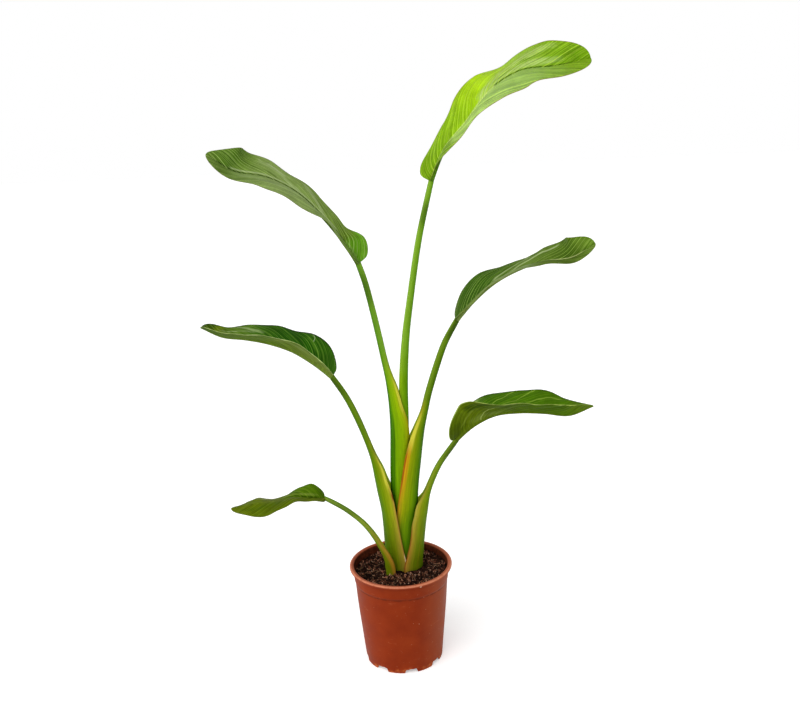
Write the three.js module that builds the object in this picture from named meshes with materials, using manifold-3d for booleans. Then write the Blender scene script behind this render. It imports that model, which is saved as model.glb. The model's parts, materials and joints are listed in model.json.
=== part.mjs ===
// A young white bird of paradise, 0.99 m tall, in a 17 cm nursery pot, in millimetres with +Z up.
// The origin is on the ground under the middle of the pot. The leaves grow in one fan along X,
// alternately left (-X) and right (+X); each leaf base is a sheath that wraps the younger leaves.
// Leaf 1 is the youngest and tallest, leaf 6 the oldest and lowest.

import * as THREE from 'three';
import { mergeVertices } from 'three/addons/utils/BufferGeometryUtils.js';
import Module from 'manifold-3d';

const wasm = await Module();
wasm.setup();

// ---------------------------------------------------------------- pot
const POT_HEIGHT = 170;
const POT_SIDES = 48;
const WALL = 1.6;
const BASE_LIFT = 8; // the base plate stands this high above the ground, on the feet
const BASE_THICK = 1.8;
const FOOT_RADIUS = 64.4; // outside of the wall at the ground
const BELLY = { height: 100, radius: 73.9 }; // the wall bows out a little
const STEP = { height: 142, below: 76.6, above: 77.8 }; // small step under the collar
const COLLAR_TOP_RADIUS = 79.2;
const RIM_RADIUS = 85;
const RIM_HEIGHT = 5.4;
const FEET = 8;
const NOTCH = { width: 17, height: 6.5, firstAngle: 9.5 - 90 }; // width and angle in degrees, from +X
const DRAIN = { radius: 4.5, ring: 44, count: 8, centreRadius: 6 };

// ---------------------------------------------------------------- soil
const SOIL_TOP = 158;
const SOIL_CLEAR = 0.5; // to the pot and to the leaf bases
const SOIL_RINGS = 9;

// ---------------------------------------------------------------- leaf stalks
const BURIED = 50; // how deep the leaf bases stand in the soil
const BASE_Z = SOIL_TOP - BURIED;
const FAN_Y = 10; // the fan of leaves stands a little behind the middle of the pot
const SHEATH_SIDE = 1.6; // wall of a sheath at its sides
const ARC_POINTS = 13; // points on each face of a section
const STEPS_PER_ROW = 2;
const JOINT_GAP = 0.3; // between a stalk and its blade

// ---------------------------------------------------------------- leaf blades
const BLADE_THICK = 0.8;
const ARCH = 0.05; // how far a half blade bows up between rib and margin, as a share of its width
const RIB_TIP = { half: 1.2, deep: 1 };
const TIP_HALF = 2; // a blade ends this far out from its rib
const RIB_FLANK = 0.6; // the rib is rounded: this far out from its middle it is still 80% deep
const ALONG = 27; // points from base to tip
const ACROSS = 0.6; // a half blade also has points at this share of its width
const WAVE_COUNT = 4.5; // along one margin

// ---------------------------------------------------------------- the six leaves
// A stalk's rows go up from its buried end: [x of the keel, z, a, b, wrap, wall]. The keel is the
// outer ridge of the stalk. The section is a crescent on an ellipse of half width `a` and half
// depth `b` that touches the keel; it wraps `wrap` degrees to each side of the keel, and its wall
// at the keel is `wall` thick. `top` is the section where the blade begins. `baseY` is the depth
// of the stalk's middle, `free` the height above which its sections turn square to it, and `turn`
// how far its base is turned to the front, in degrees.
//
// A blade's rib is a smooth curve through its points. `far` and `near` are the angles by which the
// half behind the rib and the half in front of it rise above the level, in degrees, from the
// blade's base to its tip. `half` is the usual width of one half at its widest, `widest` the share
// of the length where that is, `base` the power that rounds the base (large is full), `blunt` the
// power that rounds the tip (small is blunt) and `wave` the height of the margin's waves. `farWide`
// and `nearWide` are how much wider or narrower each half grew, from base to tip.
const LEAVES = [
  {
    number: 1, side: 1, baseY: FAN_Y, free: 500, turn: 0,
    rows: [
      [15, BASE_Z, 9.5, 7, 120, 12.4], [17, 300, 9.8, 7, 120, 12.6], [22.5, 400, 9.6, 6.8, 120, 12.6],
      [24.2, 480, 9.5, 6.8, 120, 12.6], [29, 550, 8, 6, 120, 10.6], [37.7, 613, 7, 5.3, 120, 9.1],
      [53.8, 707, 6.3, 4.7, 120, 8],
    ],
    top: [5.6, 4.2, 120, 7],
    rib: [[68, 6, 796], [91, 6, 843], [126, 6, 882], [160, 5, 923], [204, 5, 949], [257, 4, 954],
      [307, 4, 963]],
    far: [60, 23, 22, 33, 27, 15, 34, 67, 78], near: [0, -5, -8, -3, -14, -20, -16, -17, -24],
    farWide: [1, 1.08, 1.04, 1.02, 0.99, 0.94, 1.01, 0.8, 0.83],
    nearWide: [1, 0.83, 0.87, 0.95, 1.02, 1.03, 1.04, 1.01, 0.96],
    half: 60, widest: 0.62, base: 2, blunt: 0.5, wave: 0.8,
  },
  {
    number: 2, side: -1, baseY: FAN_Y, free: 500, turn: 0,
    rows: [
      [-12, BASE_Z, 17.4, 12.4, 165, 9], [-11, 300, 17, 12, 165, 9], [-7.5, 400, 16, 11.7, 155, 10.4],
      [-8, 443, 15, 11.2, 119, 10.4], [-10, 470, 12.5, 9.2, 115, 11.4], [-12.5, 492, 8.6, 6.6, 120, 11.8],
      [-17, 519, 6.9, 5.3, 120, 9.2], [-28, 584, 6.4, 4.7, 120, 8.2], [-39, 640, 6.1, 4.5, 120, 7.8],
    ],
    top: [6, 4.4, 120, 7.4],
    rib: [[-42, 2, 677], [-68, 0, 718], [-98, -1, 756], [-132, -3, 790], [-174, -5, 813], [-221, -8, 824],
      [-258, -10, 851]],
    far: [60, 18, 13, 14, 12, 17, 32, 54, 23], near: [-8, -6, 6, -3, -9, -8, -9, -8, -18],
    farWide: [1, 1, 0.98, 0.98, 0.98, 0.98, 1.02, 1.06, 1.08],
    nearWide: [1, 0.7, 0.78, 0.91, 0.99, 1.03, 1.04, 1.03, 0.93],
    half: 52, widest: 0.6, base: 2, blunt: 0.6, wave: 1.4,
  },
  {
    number: 3, side: 1, baseY: FAN_Y, free: 440, turn: 0,
    rows: [
      [29.4, BASE_Z, 23.5, 16.8, 160, 4.6], [30.2, 190, 24, 16.6, 135, 5.2],
      [32.3, 260, 25.4, 16.4, 112, 6.6], [34.7, 300, 26, 16.9, 101, 8], [41, 350, 24, 16.8, 100, 12.4],
      [44.3, 375, 20, 15.2, 104, 15.8], [48.4, 402, 12.6, 10.6, 118, 15.6], [54.5, 430, 8.4, 6.7, 120, 11.5],
      [62, 462, 7.2, 5.6, 120, 9.8],
      [77.4, 514, 6.7, 4.8, 120, 8.7], [89, 547, 6.2, 4.5, 120, 7.9],
    ],
    top: [5.6, 4.1, 120, 6.9],
    rib: [[101, -8, 584.6], [129, -15, 616], [160, -22, 643], [195, -31, 663], [232, -40, 676], [272, -50, 682],
      [305, -58, 703]],
    far: [14, 25, 21, 6, 2, 10, 32, 70, 70], near: [17, 9, 11, 12, 12, 9, 3, -1, -10],
    farWide: [1, 1.1, 1.08, 1.06, 1, 0.94, 0.94, 0.92, 1],
    nearWide: [1, 0.85, 0.91, 0.96, 0.99, 0.99, 0.97, 0.98, 0.97],
    half: 46, widest: 0.5, base: 2.2, blunt: 0.5, wave: 0.9,
  },
  {
    number: 4, side: -1, baseY: FAN_Y, free: 360, turn: 0,
    rows: [
      [-26.6, BASE_Z, 31.8, 20.8, 100, 7], [-26.6, 165, 31.8, 20.8, 100, 7],
      [-25.5, 200, 29.5, 20.6, 92, 6],
      [-27.6, 256, 25, 21, 90, 10], [-33, 293, 21, 17.5, 100, 17], [-36.5, 318, 15.8, 12.3, 107, 18],
      [-39.3, 339, 11.2, 9, 118, 15.4], [-43, 358, 7.8, 6.8, 120, 11], [-51, 385, 6.4, 5.2, 120, 8.6],
      [-63.6, 418, 6.4, 4.7, 120, 8.2], [-79, 452, 6.1, 4.5, 120, 7.8],
    ],
    top: [5.8, 4.3, 120, 7.2],
    rib: [[-95, 22, 492], [-126, 27, 515], [-159, 33, 534], [-196, 39, 546], [-233, 46, 552], [-271, 52, 556],
      [-305, 58, 571]],
    far: [18, 48, 41, 27, 27, 23, 20, 21, 38], near: [21, 29, 33, 32, 29, 26, 27, 29, 27],
    farWide: [1, 1.09, 1.09, 1.01, 0.98, 0.97, 0.94, 0.91, 0.92],
    nearWide: [1, 1, 1, 1, 1, 1, 1, 1, 1],
    half: 46, widest: 0.42, base: 2.2, blunt: 0.5, wave: 0.8,
  },
  {
    number: 5, side: 1, baseY: FAN_Y, free: 285, turn: 0,
    rows: [
      [37, BASE_Z, 31.8, 24.2, 90, 6.6], [37, 162, 31.8, 24.2, 90, 6.6], [39, 184, 28.5, 23, 90, 7.4],
      [42, 211, 25, 21.6, 90, 8.4], [45.5, 239, 22.5, 20, 95, 10], [48.3, 256, 18.5, 18.6, 103, 10],
      [51, 273, 13.8, 13.8, 118, 13], [54, 288, 8.6, 7.5, 120, 12.1], [59.2, 305, 6.7, 5.6, 120, 9.1],
      [69.4, 332, 5.9, 4.6, 120, 7.8], [79.4, 352, 5.5, 4.2, 120, 7.1],
    ],
    top: [5.3, 4, 120, 6.6],
    rib: [[96.2, -10, 388.8], [125, -17, 414], [158, -25, 432], [195, -34, 438], [233, -43, 438], [270, -52, 436],
      [305, -60, 452]],
    far: [18, 18, 20, 22, 26, 35, 30, 22, -7], near: [20, 80, 60, 39, 37, 37, 43, 57, 50],
    farWide: [1, 1.3, 1.2, 1.07, 1.03, 1.04, 1.04, 1.04, 0.97],
    nearWide: [1, 0.94, 1.3, 1.09, 1, 0.98, 0.96, 0.99, 0.99],
    half: 46, widest: 0.45, base: 2.3, blunt: 0.6, wave: 0.8,
  },
  {
    number: 6, side: -1, baseY: -16, free: 165, turn: 50,
    rows: [
      [-25, BASE_Z, 8.5, 8, 115, 9], [-25, 165, 8.5, 8, 115, 9], [-28.5, 190, 7.6, 6.3, 118, 8.6],
      [-37.3, 213, 6.2, 5, 120, 7.9], [-50.1, 238.5, 5.4, 4.3, 120, 6.9], [-64.7, 259, 4.9, 3.9, 120, 6.2],
      [-87.8, 281, 4.6, 3.7, 120, 5.7],
    ],
    top: [4.4, 3.5, 120, 5.4],
    rib: [[-116, -30, 306], [-140, -34, 308], [-165, -37, 312], [-189, -41, 309], [-214, -45, 308],
      [-238, -48, 306], [-263, -52, 304]],
    far: [8, 38, 8, -10, -19, -13, -5, -15, -20], near: [-13, 7, 9, 3, -4, -15, -28, -22, -26],
    farWide: [1, 1.03, 1.01, 0.99, 0.99, 0.97, 0.99, 1.01, 1.01],
    nearWide: [1, 0.75, 0.8, 0.92, 1, 1.06, 0.98, 0.95, 0.95],
    half: 33, widest: 0.45, base: 2, blunt: 0.6, wave: 0.9,
  },
];

// ---------------------------------------------------------------- colours
const finish = (color, roughness) => new THREE.MeshStandardMaterial({ color, roughness, metalness: 0 });
const TERRACOTTA = finish(0xa5522f, 0.55);
const PEAT = finish(0x2b1c14, 0.95);
const STALK_GREEN = finish(0x6f9a1c, 0.45);
const BLADE_GREEN = finish(0x4c8a1a, 0.4);
const YOUNG_GREEN = finish(0x93bf28, 0.4);

// ---------------------------------------------------------------- helpers
const radians = THREE.MathUtils.degToRad;
const mix = THREE.MathUtils.lerp;

// A smooth curve (uniform Catmull-Rom) through rows of numbers, at u from 0 to 1.
function between(rows, u) {
  const last = rows.length - 1;
  const place = Math.min(u, 1 - 1e-9) * last;
  const i = Math.floor(place);
  const f = place - i;
  const before = rows[i - 1] ?? rows[0].map((v, k) => 2 * v - rows[1][k]);
  const after = rows[i + 2] ?? rows[last].map((v, k) => 2 * v - rows[last - 1][k]);
  return rows[i].map((b, k) => {
    const a = before[k];
    const c = rows[i + 1][k];
    const d = after[k];
    const bend = 2 * a - 5 * b + 4 * c - d;
    const twist = 3 * b - a - 3 * c + d;
    return 0.5 * (2 * b + (c - a) * f + bend * f ** 2 + twist * f ** 3);
  });
}

// The side and upper directions of a leaf whose midline runs along `run`.
function leafFrame(run, side) {
  const across = new THREE.Vector3(0, 1, 0).addScaledVector(run, -run.y).normalize();
  const up = new THREE.Vector3().crossVectors(run, across).multiplyScalar(side);
  return { across, up };
}

// A closed solid between two sheets of points, front[row][column] and back[row][column]. Both
// sheets are split along the same diagonals, and four strips join their edges.
function sheetSolid(front, back) {
  const rows = front.length;
  const columns = front[0].length;
  const points = [...front.flat(), ...back.flat()];
  const at = (sheet, j, i) => sheet * rows * columns + j * columns + i;
  const faces = [];
  const quad = (a, b, c, d) => faces.push(a, b, c, a, c, d);
  for (let j = 0; j < rows - 1; j++) {
    for (let i = 0; i < columns - 1; i++) {
      quad(at(0, j, i), at(0, j, i + 1), at(0, j + 1, i + 1), at(0, j + 1, i));
      faces.push(at(1, j, i), at(1, j + 1, i + 1), at(1, j, i + 1));
      faces.push(at(1, j, i), at(1, j + 1, i), at(1, j + 1, i + 1));
    }
    quad(at(0, j, 0), at(0, j + 1, 0), at(1, j + 1, 0), at(1, j, 0));
    quad(at(0, j, columns - 1), at(1, j, columns - 1), at(1, j + 1, columns - 1), at(0, j + 1, columns - 1));
  }
  for (let i = 0; i < columns - 1; i++) {
    quad(at(0, 0, i), at(1, 0, i), at(1, 0, i + 1), at(0, 0, i + 1));
    quad(at(0, rows - 1, i), at(0, rows - 1, i + 1), at(1, rows - 1, i + 1), at(1, rows - 1, i));
  }
  let volume = 0;
  for (let k = 0; k < faces.length; k += 3) {
    const [a, b, c] = faces.slice(k, k + 3).map((n) => points[n]);
    volume += a.dot(new THREE.Vector3().crossVectors(b, c));
  }
  const geometry = new THREE.BufferGeometry().setFromPoints(points);
  geometry.setIndex(volume > 0 ? faces : faces.reverse());
  geometry.computeVertexNormals();
  return geometry;
}

function toSolid(geometry) {
  const bare = geometry.clone();
  bare.deleteAttribute('normal');
  bare.deleteAttribute('uv');
  const merged = mergeVertices(bare, 1e-4);
  const index = merged.index.array;
  const kept = [];
  for (let k = 0; k < index.length; k += 3) {
    const [a, b, c] = index.slice(k, k + 3);
    if (a !== b && b !== c && c !== a) kept.push(a, b, c);
  }
  return new wasm.Manifold(new wasm.Mesh({
    numProp: 3,
    vertProperties: new Float32Array(merged.attributes.position.array),
    triVerts: new Uint32Array(kept),
  }));
}

function toGeometry(solid) {
  const mesh = solid.getMesh();
  const geometry = new THREE.BufferGeometry();
  geometry.setAttribute('position', new THREE.BufferAttribute(new Float32Array(mesh.vertProperties), 3));
  geometry.setIndex(new THREE.BufferAttribute(new Uint32Array(mesh.triVerts), 1));
  geometry.computeVertexNormals();
  return geometry;
}

const turned = (profile) => {
  const points = profile.map(([radius, height]) => new THREE.Vector2(radius, height));
  return new THREE.LatheGeometry(points, POT_SIDES).rotateX(Math.PI / 2);
};

// ---------------------------------------------------------------- the pot's wall
// Outside radius of the wall at a height, on straight runs from foot to belly, step and collar.
function wallRadius(height) {
  const marks = [
    [0, FOOT_RADIUS], [BELLY.height, BELLY.radius], [STEP.height, STEP.below],
    [STEP.height + 3, STEP.above], [POT_HEIGHT - RIM_HEIGHT, COLLAR_TOP_RADIUS],
  ];
  const k = Math.max(1, marks.findIndex(([z]) => z >= height));
  const [z0, r0] = marks[k - 1];
  const [z1, r1] = marks[k];
  return mix(r0, r1, (height - z0) / (z1 - z0));
}

function potProfile() {
  const rimBottom = POT_HEIGHT - RIM_HEIGHT;
  const floorTop = BASE_LIFT + BASE_THICK;
  const inner = (z) => wallRadius(z) - WALL;
  return [
    [0, BASE_LIFT],
    [FOOT_RADIUS - 2.2, BASE_LIFT],
    [FOOT_RADIUS - 2.4, 0],
    [FOOT_RADIUS, 0],
    [wallRadius(BASE_LIFT), BASE_LIFT],
    [BELLY.radius, BELLY.height],
    [STEP.below, STEP.height],
    [STEP.above, STEP.height + 3],
    [COLLAR_TOP_RADIUS, rimBottom],
    [RIM_RADIUS - 2, rimBottom],
    [RIM_RADIUS - 0.5, rimBottom + 0.8],
    [RIM_RADIUS, POT_HEIGHT - 2.8],
    [RIM_RADIUS - 0.4, POT_HEIGHT - 1.4],
    [RIM_RADIUS - 2, POT_HEIGHT - 0.2],
    [COLLAR_TOP_RADIUS + 0.4, POT_HEIGHT],
    [COLLAR_TOP_RADIUS - WALL + 0.4, POT_HEIGHT - 1.2],
    [inner(rimBottom), rimBottom],
    [inner(STEP.height + 3), STEP.height + 3],
    [inner(STEP.height), STEP.height],
    [inner(BELLY.height), BELLY.height],
    [inner(floorTop), floorTop],
    [0, floorTop],
  ];
}

function makePot() {
  let pot = toSolid(turned(potProfile()));
  const pitch = 360 / FEET;
  const notchWidth = 2 * FOOT_RADIUS * Math.sin(radians(NOTCH.width / 2));
  for (let k = 0; k < FEET; k++) {
    const notch = new THREE.BoxGeometry(20, notchWidth, 2 * NOTCH.height)
      .translate(FOOT_RADIUS, 0, 0)
      .rotateZ(radians(NOTCH.firstAngle + k * pitch));
    pot = pot.subtract(toSolid(notch));
  }
  const hole = (radius) => new THREE.CylinderGeometry(radius, radius, 4 * BASE_THICK, 12)
    .rotateX(Math.PI / 2)
    .translate(0, 0, BASE_LIFT + BASE_THICK / 2);
  pot = pot.subtract(toSolid(hole(DRAIN.centreRadius)));
  for (let k = 0; k < DRAIN.count; k++) {
    const drain = hole(DRAIN.radius)
      .translate(DRAIN.ring, 0, 0)
      .rotateZ(radians(NOTCH.firstAngle + (k * 360) / DRAIN.count));
    pot = pot.subtract(toSolid(drain));
  }
  return toGeometry(pot);
}

// ---------------------------------------------------------------- leaf stalks
// The crescent section of a stalk in its own plane: [x away from the younger leaves, y across].
// The outer points lie on the ellipse; the inner ones are drawn in by the wall, most at the keel.
function crescent(a, b, wrap, wall) {
  const sideWall = Math.min(SHEATH_SIDE, 0.35 * b);
  const outer = [];
  const inner = [];
  const open = Math.cos(radians(wrap));
  for (let i = 0; i < ARC_POINTS; i++) {
    const angle = radians(wrap) * (-1 + (2 * i) / (ARC_POINTS - 1));
    const x = Math.cos(angle);
    const y = Math.sin(angle);
    const share = (x - open) / (1 - open);
    outer.push([a * x, b * y]);
    inner.push([a * x - wall * share ** 1.5, (b - sideWall) * y]);
  }
  return { outer, inner };
}

// Where a leaf's blade begins: the rib's first point, and its frame there.
function neck(leaf) {
  const start = new THREE.Vector3(...leaf.rib[0]);
  const run = new THREE.Vector3(...between(leaf.rib, 1e-3)).sub(start).normalize();
  return { start, run, ...leafFrame(run, leaf.side) };
}

// The rows of a stalk with the last one worked out, so that its channel meets the blade's rib.
function stalkRows(leaf) {
  const { start, up } = neck(leaf);
  const keel = start.clone().addScaledVector(up, -leaf.top.at(-1));
  return [...leaf.rows, [keel.x, keel.z, ...leaf.top]];
}

function stalkStations(leaf) {
  const rows = stalkRows(leaf);
  const count = (rows.length - 1) * STEPS_PER_ROW;
  const [, top] = rows.at(-1);
  const { start, run: neckRun } = neck(leaf);
  const keelAt = (u) => {
    const [x, z] = between(rows, u);
    const rise = THREE.MathUtils.smoothstep(z, leaf.free, top);
    return new THREE.Vector3(x, mix(leaf.baseY, start.y, rise), z);
  };
  return Array.from({ length: count + 1 }, (_, j) => {
    const u = j / count;
    const [, z, a, b, wrap, wall] = between(rows, u);
    const run = keelAt(Math.min(1, u + 1e-3)).sub(keelAt(Math.max(0, u - 1e-3))).normalize();
    if (j === count) run.copy(neckRun);
    const lean = THREE.MathUtils.smoothstep(z, leaf.free, leaf.free + 60);
    const axis = new THREE.Vector3(0, 0, 1).lerp(run, lean).normalize();
    const { across, up } = leafFrame(axis, leaf.side);
    const turn = -leaf.side * radians(leaf.turn) * (1 - lean);
    const out = up.clone().negate().applyAxisAngle(axis, turn);
    const side = across.clone().applyAxisAngle(axis, turn);
    const centre = keelAt(u).addScaledVector(up, a);
    if (j === count) centre.addScaledVector(axis, -JOINT_GAP);
    const place = ([x, y]) => centre.clone().addScaledVector(out, x).addScaledVector(side, y);
    return { section: [a, b, wrap, wall], place };
  });
}

function makeStalk(leaf) {
  const rings = stalkStations(leaf).map(({ section, place }) => {
    const { outer, inner } = crescent(...section);
    return { outer: outer.map(place), inner: inner.map(place) };
  });
  return sheetSolid(rings.map((r) => r.outer), rings.map((r) => r.inner));
}

// The plain hole that a stalk's buried end stands in: its filled outline, a little larger.
function stalkHole(leaf) {
  const { section: [a, b, wrap, wall], place } = stalkStations(leaf)[0];
  const swollen = crescent(a, b, wrap, wall).outer
    .map(([x, y]) => [x * (1 + SOIL_CLEAR / a), y * (1 + SOIL_CLEAR / b)]);
  const back = [swollen.at(-1), swollen[0]].map(([x, y]) => [x - 2 * SOIL_CLEAR, y]);
  const outline = [...swollen, ...back].map(place).map((p) => new THREE.Vector2(p.x, p.y));
  return new THREE.ExtrudeGeometry(new THREE.Shape(outline), { depth: BURIED + 40, bevelEnabled: false })
    .translate(0, 0, BASE_Z - JOINT_GAP);
}

// ---------------------------------------------------------------- soil
// The surface is a low uneven mound that sinks a little towards the left and the wall.
function soilHeight(x, y) {
  const clods = Math.sin(x / 7 + 1.3) * Math.cos(y / 8) + 0.6 * Math.sin((x - y) / 4.3);
  const mound = 2.5 * Math.exp(-((x - 5) ** 2 + (y - 5) ** 2) / 45 ** 2);
  return SOIL_TOP - 1.5 + mound + x / 50 + 0.9 * clods;
}

function makeSoil() {
  const bottom = BASE_LIFT + BASE_THICK + SOIL_CLEAR;
  const reach = (z) => wallRadius(z) - WALL - SOIL_CLEAR;
  const edge = reach(SOIL_TOP - 6);
  const top = Array.from({ length: SOIL_RINGS }, (_, k) => [edge * (1 - k / SOIL_RINGS), SOIL_TOP]);
  const profile = [
    [0, bottom], [reach(bottom), bottom], [reach(BELLY.height), BELLY.height],
    [reach(STEP.height), STEP.height], ...top, [0, SOIL_TOP],
  ];
  const geometry = turned(profile);
  const place = geometry.attributes.position;
  for (let k = 0; k < place.count; k++) {
    if (place.getZ(k) > SOIL_TOP - 1) place.setZ(k, soilHeight(place.getX(k), place.getY(k)));
  }
  const outerLeaves = LEAVES.slice(3); // their bases enclose the others'
  const holes = outerLeaves.map((leaf) => toSolid(stalkHole(leaf)));
  return toGeometry(holes.reduce((soil, hole) => soil.subtract(hole), toSolid(geometry)));
}

// ---------------------------------------------------------------- leaf blades
// Width of a half blade at t from base to tip: a rounded quarter out of the neck, then a taper.
function halfWidth(leaf, t) {
  const neckHalf = leaf.top[1];
  const before = Math.max(0, 1 - t / leaf.widest);
  const beyond = Math.max(0, (t - leaf.widest) / (1 - leaf.widest));
  if (beyond > 0) return mix(TIP_HALF, leaf.half, (1 - beyond ** 2) ** leaf.blunt);
  return neckHalf + (leaf.half - neckHalf) * (1 - before ** leaf.base) ** (1 / leaf.base);
}

// The blade's two faces, row by row from base to tip. Columns run from the near margin over the
// rib to the far margin. A half rises at its angle, bows up a little and waves at the margin; the
// lower face lies BLADE_THICK under it and swells to the rounded rib.
function makeBlade(leaf) {
  const [, neckHalf, , neckDeep] = leaf.top;
  const upper = [];
  const lower = [];
  for (let j = 0; j < ALONG; j++) {
    const t = (1 - Math.cos((Math.PI * j) / (ALONG - 1))) / 2;
    const rib = new THREE.Vector3(...between(leaf.rib, t));
    const ahead = new THREE.Vector3(...between(leaf.rib, Math.min(1, t + 1e-3)));
    const behind = new THREE.Vector3(...between(leaf.rib, Math.max(0, t - 1e-3)));
    const { across, up } = leafFrame(ahead.sub(behind).normalize(), leaf.side);
    const ribHalf = mix(neckHalf, RIB_TIP.half, Math.sqrt(t));
    const ribDeep = mix(neckDeep, RIB_TIP.deep, Math.sqrt(t));
    const top = [];
    const under = [];
    for (const [sign, stop] of [[-1, 4], [-1, 3], [-1, 2], [-1, 1], [1, 0], [1, 1], [1, 2], [1, 3], [1, 4]]) {
      const [angles, wide] = sign < 0 ? [leaf.near, leaf.nearWide] : [leaf.far, leaf.farWide];
      const [degrees, stretch] = between(angles.map((v, k) => [v, wide[k]]), t);
      const width = halfWidth(leaf, t) * stretch;
      const ribShare = Math.min(0.5, ribHalf / width);
      const share = [0, RIB_FLANK * ribShare, ribShare, ACROSS, 1][stop];
      const angle = radians(degrees);
      const out = across.clone().multiplyScalar(sign).applyAxisAngle(across.clone().cross(up), sign * angle);
      const rise = up.clone().applyAxisAngle(across.clone().cross(up), sign * angle);
      const swing = Math.sin(2 * Math.PI * WAVE_COUNT * t + sign) * Math.sin(Math.PI * t);
      const lift = ARCH * width * 4 * share * (1 - share) + leaf.wave * share ** 2 * swing;
      const point = rib.clone().addScaledVector(out, share * width).addScaledVector(rise, lift);
      const round = Math.sqrt(Math.max(0, 1 - (share / ribShare) ** 2));
      const deep = Math.max(BLADE_THICK, ribDeep * round);
      const upright = Math.min(1, round + (2 * BLADE_THICK) / width);
      top.push(point);
      under.push(point.clone().addScaledVector(rise.lerp(up, upright).normalize(), -deep));
    }
    upper.push(top);
    lower.push(under);
  }
  return sheetSolid(upper, lower);
}

// ---------------------------------------------------------------- assembly
const plant = new THREE.Group();

function add(name, geometry, material) {
  const mesh = new THREE.Mesh(geometry, material);
  mesh.name = name;
  plant.add(mesh);
}

add('pot', makePot(), TERRACOTTA);
add('soil', makeSoil(), PEAT);
for (const leaf of LEAVES) {
  add(`leaf_${leaf.number}_stalk`, makeStalk(leaf), STALK_GREEN);
  add(`leaf_${leaf.number}_blade`, makeBlade(leaf), leaf.number === 1 ? YOUNG_GREEN : BLADE_GREEN);
}

export default plant;
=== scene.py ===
# %% [markdown]
# # A young bird of paradise in a nursery pot
# Six leaves fan out of one pot. Each leaf has a blade on a long channelled stalk, and the foot of
# every stalk is a sheath that wraps the younger ones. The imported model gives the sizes; this
# lesson rebuilds each piece finely on the same formulas, and gives it its finish.

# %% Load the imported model
import json
from itertools import combinations
from types import SimpleNamespace

import bpy
import numpy as np
from mathutils import Matrix, Vector

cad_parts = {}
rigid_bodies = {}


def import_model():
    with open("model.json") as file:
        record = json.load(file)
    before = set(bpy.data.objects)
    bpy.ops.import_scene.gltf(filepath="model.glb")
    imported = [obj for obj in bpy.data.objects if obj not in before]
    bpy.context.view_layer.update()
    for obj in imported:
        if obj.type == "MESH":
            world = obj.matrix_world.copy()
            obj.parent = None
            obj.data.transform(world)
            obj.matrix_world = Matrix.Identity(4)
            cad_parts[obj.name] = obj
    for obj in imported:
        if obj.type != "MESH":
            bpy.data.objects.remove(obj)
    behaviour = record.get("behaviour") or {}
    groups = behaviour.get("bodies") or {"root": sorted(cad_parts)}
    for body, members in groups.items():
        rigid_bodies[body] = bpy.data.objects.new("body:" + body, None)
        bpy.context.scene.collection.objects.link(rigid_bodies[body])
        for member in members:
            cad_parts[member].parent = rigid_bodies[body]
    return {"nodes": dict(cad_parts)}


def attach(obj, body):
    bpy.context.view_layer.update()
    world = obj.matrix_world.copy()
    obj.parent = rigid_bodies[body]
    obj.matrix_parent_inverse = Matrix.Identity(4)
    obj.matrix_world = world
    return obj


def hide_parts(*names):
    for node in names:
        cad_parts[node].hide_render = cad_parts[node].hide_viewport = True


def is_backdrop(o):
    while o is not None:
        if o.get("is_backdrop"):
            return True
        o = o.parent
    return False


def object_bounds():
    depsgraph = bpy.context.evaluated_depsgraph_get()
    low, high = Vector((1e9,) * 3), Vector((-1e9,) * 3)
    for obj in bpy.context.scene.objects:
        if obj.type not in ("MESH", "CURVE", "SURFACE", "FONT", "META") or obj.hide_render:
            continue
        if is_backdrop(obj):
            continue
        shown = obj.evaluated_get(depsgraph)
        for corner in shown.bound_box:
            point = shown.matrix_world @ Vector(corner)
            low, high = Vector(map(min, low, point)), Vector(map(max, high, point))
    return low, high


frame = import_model()
cad_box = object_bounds()
MM = 0.001
SCENE = bpy.context.scene


def put(name, data):
    """A new object in the scene that shows the given mesh, lamp or camera."""
    made = bpy.data.objects.new(name, data)
    SCENE.collection.objects.link(made)
    return made


print("nodes:", sorted(frame["nodes"]))

# %% [markdown]
# ## The camera
# A phone camera looked slightly down on the plant. The ellipses of the pot's rim and foot say how
# steeply, and the pot's lean in the picture gives the roll. They don't say from how far: distances
# from 1.2 to 2.2 metres, each with its own height, tilt and lens, all fit them to within a pixel.
# So 1.5 metres is a choice, and the height, tilt and lens are the ones that go with it.

# %% Camera
CAMERA_AT = Vector((0.0135, -1.5, 0.97))
PITCH_DOWN = np.radians(16.2)
ROLL = np.radians(-2.4)
LENS_MM = 45
SENSOR_MM = 36

forward = Vector((0, np.cos(PITCH_DOWN), -np.sin(PITCH_DOWN)))
level = Vector((1, 0, 0))
overhead = level.cross(forward)
camera_right = level * np.cos(ROLL) + overhead * np.sin(ROLL)
camera_up = overhead * np.cos(ROLL) - level * np.sin(ROLL)

camera_data = bpy.data.cameras.new("camera")
camera_data.lens = LENS_MM
camera_data.sensor_width = SENSOR_MM
camera_data.sensor_fit = "HORIZONTAL"
camera = put("camera", camera_data)
turn = Matrix((camera_right, camera_up, -forward)).transposed()
camera.matrix_world = Matrix.Translation(CAMERA_AT) @ turn.to_4x4()
SCENE.camera = camera
print("camera looks along", tuple(round(v, 3) for v in forward))

# %% [markdown]
# ## Small tools for meshes
# Every new piece is a sheet of points worked out on a grid of two parameters. These helpers turn
# such grids into meshes: a shell closes two sheets that lie back to back, and a ring-shaped grid
# closes on itself. The pattern coordinates are written as UV maps, in metres where they measure
# something, so that a finish can follow a vein or a stalk wherever it bends.


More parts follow.
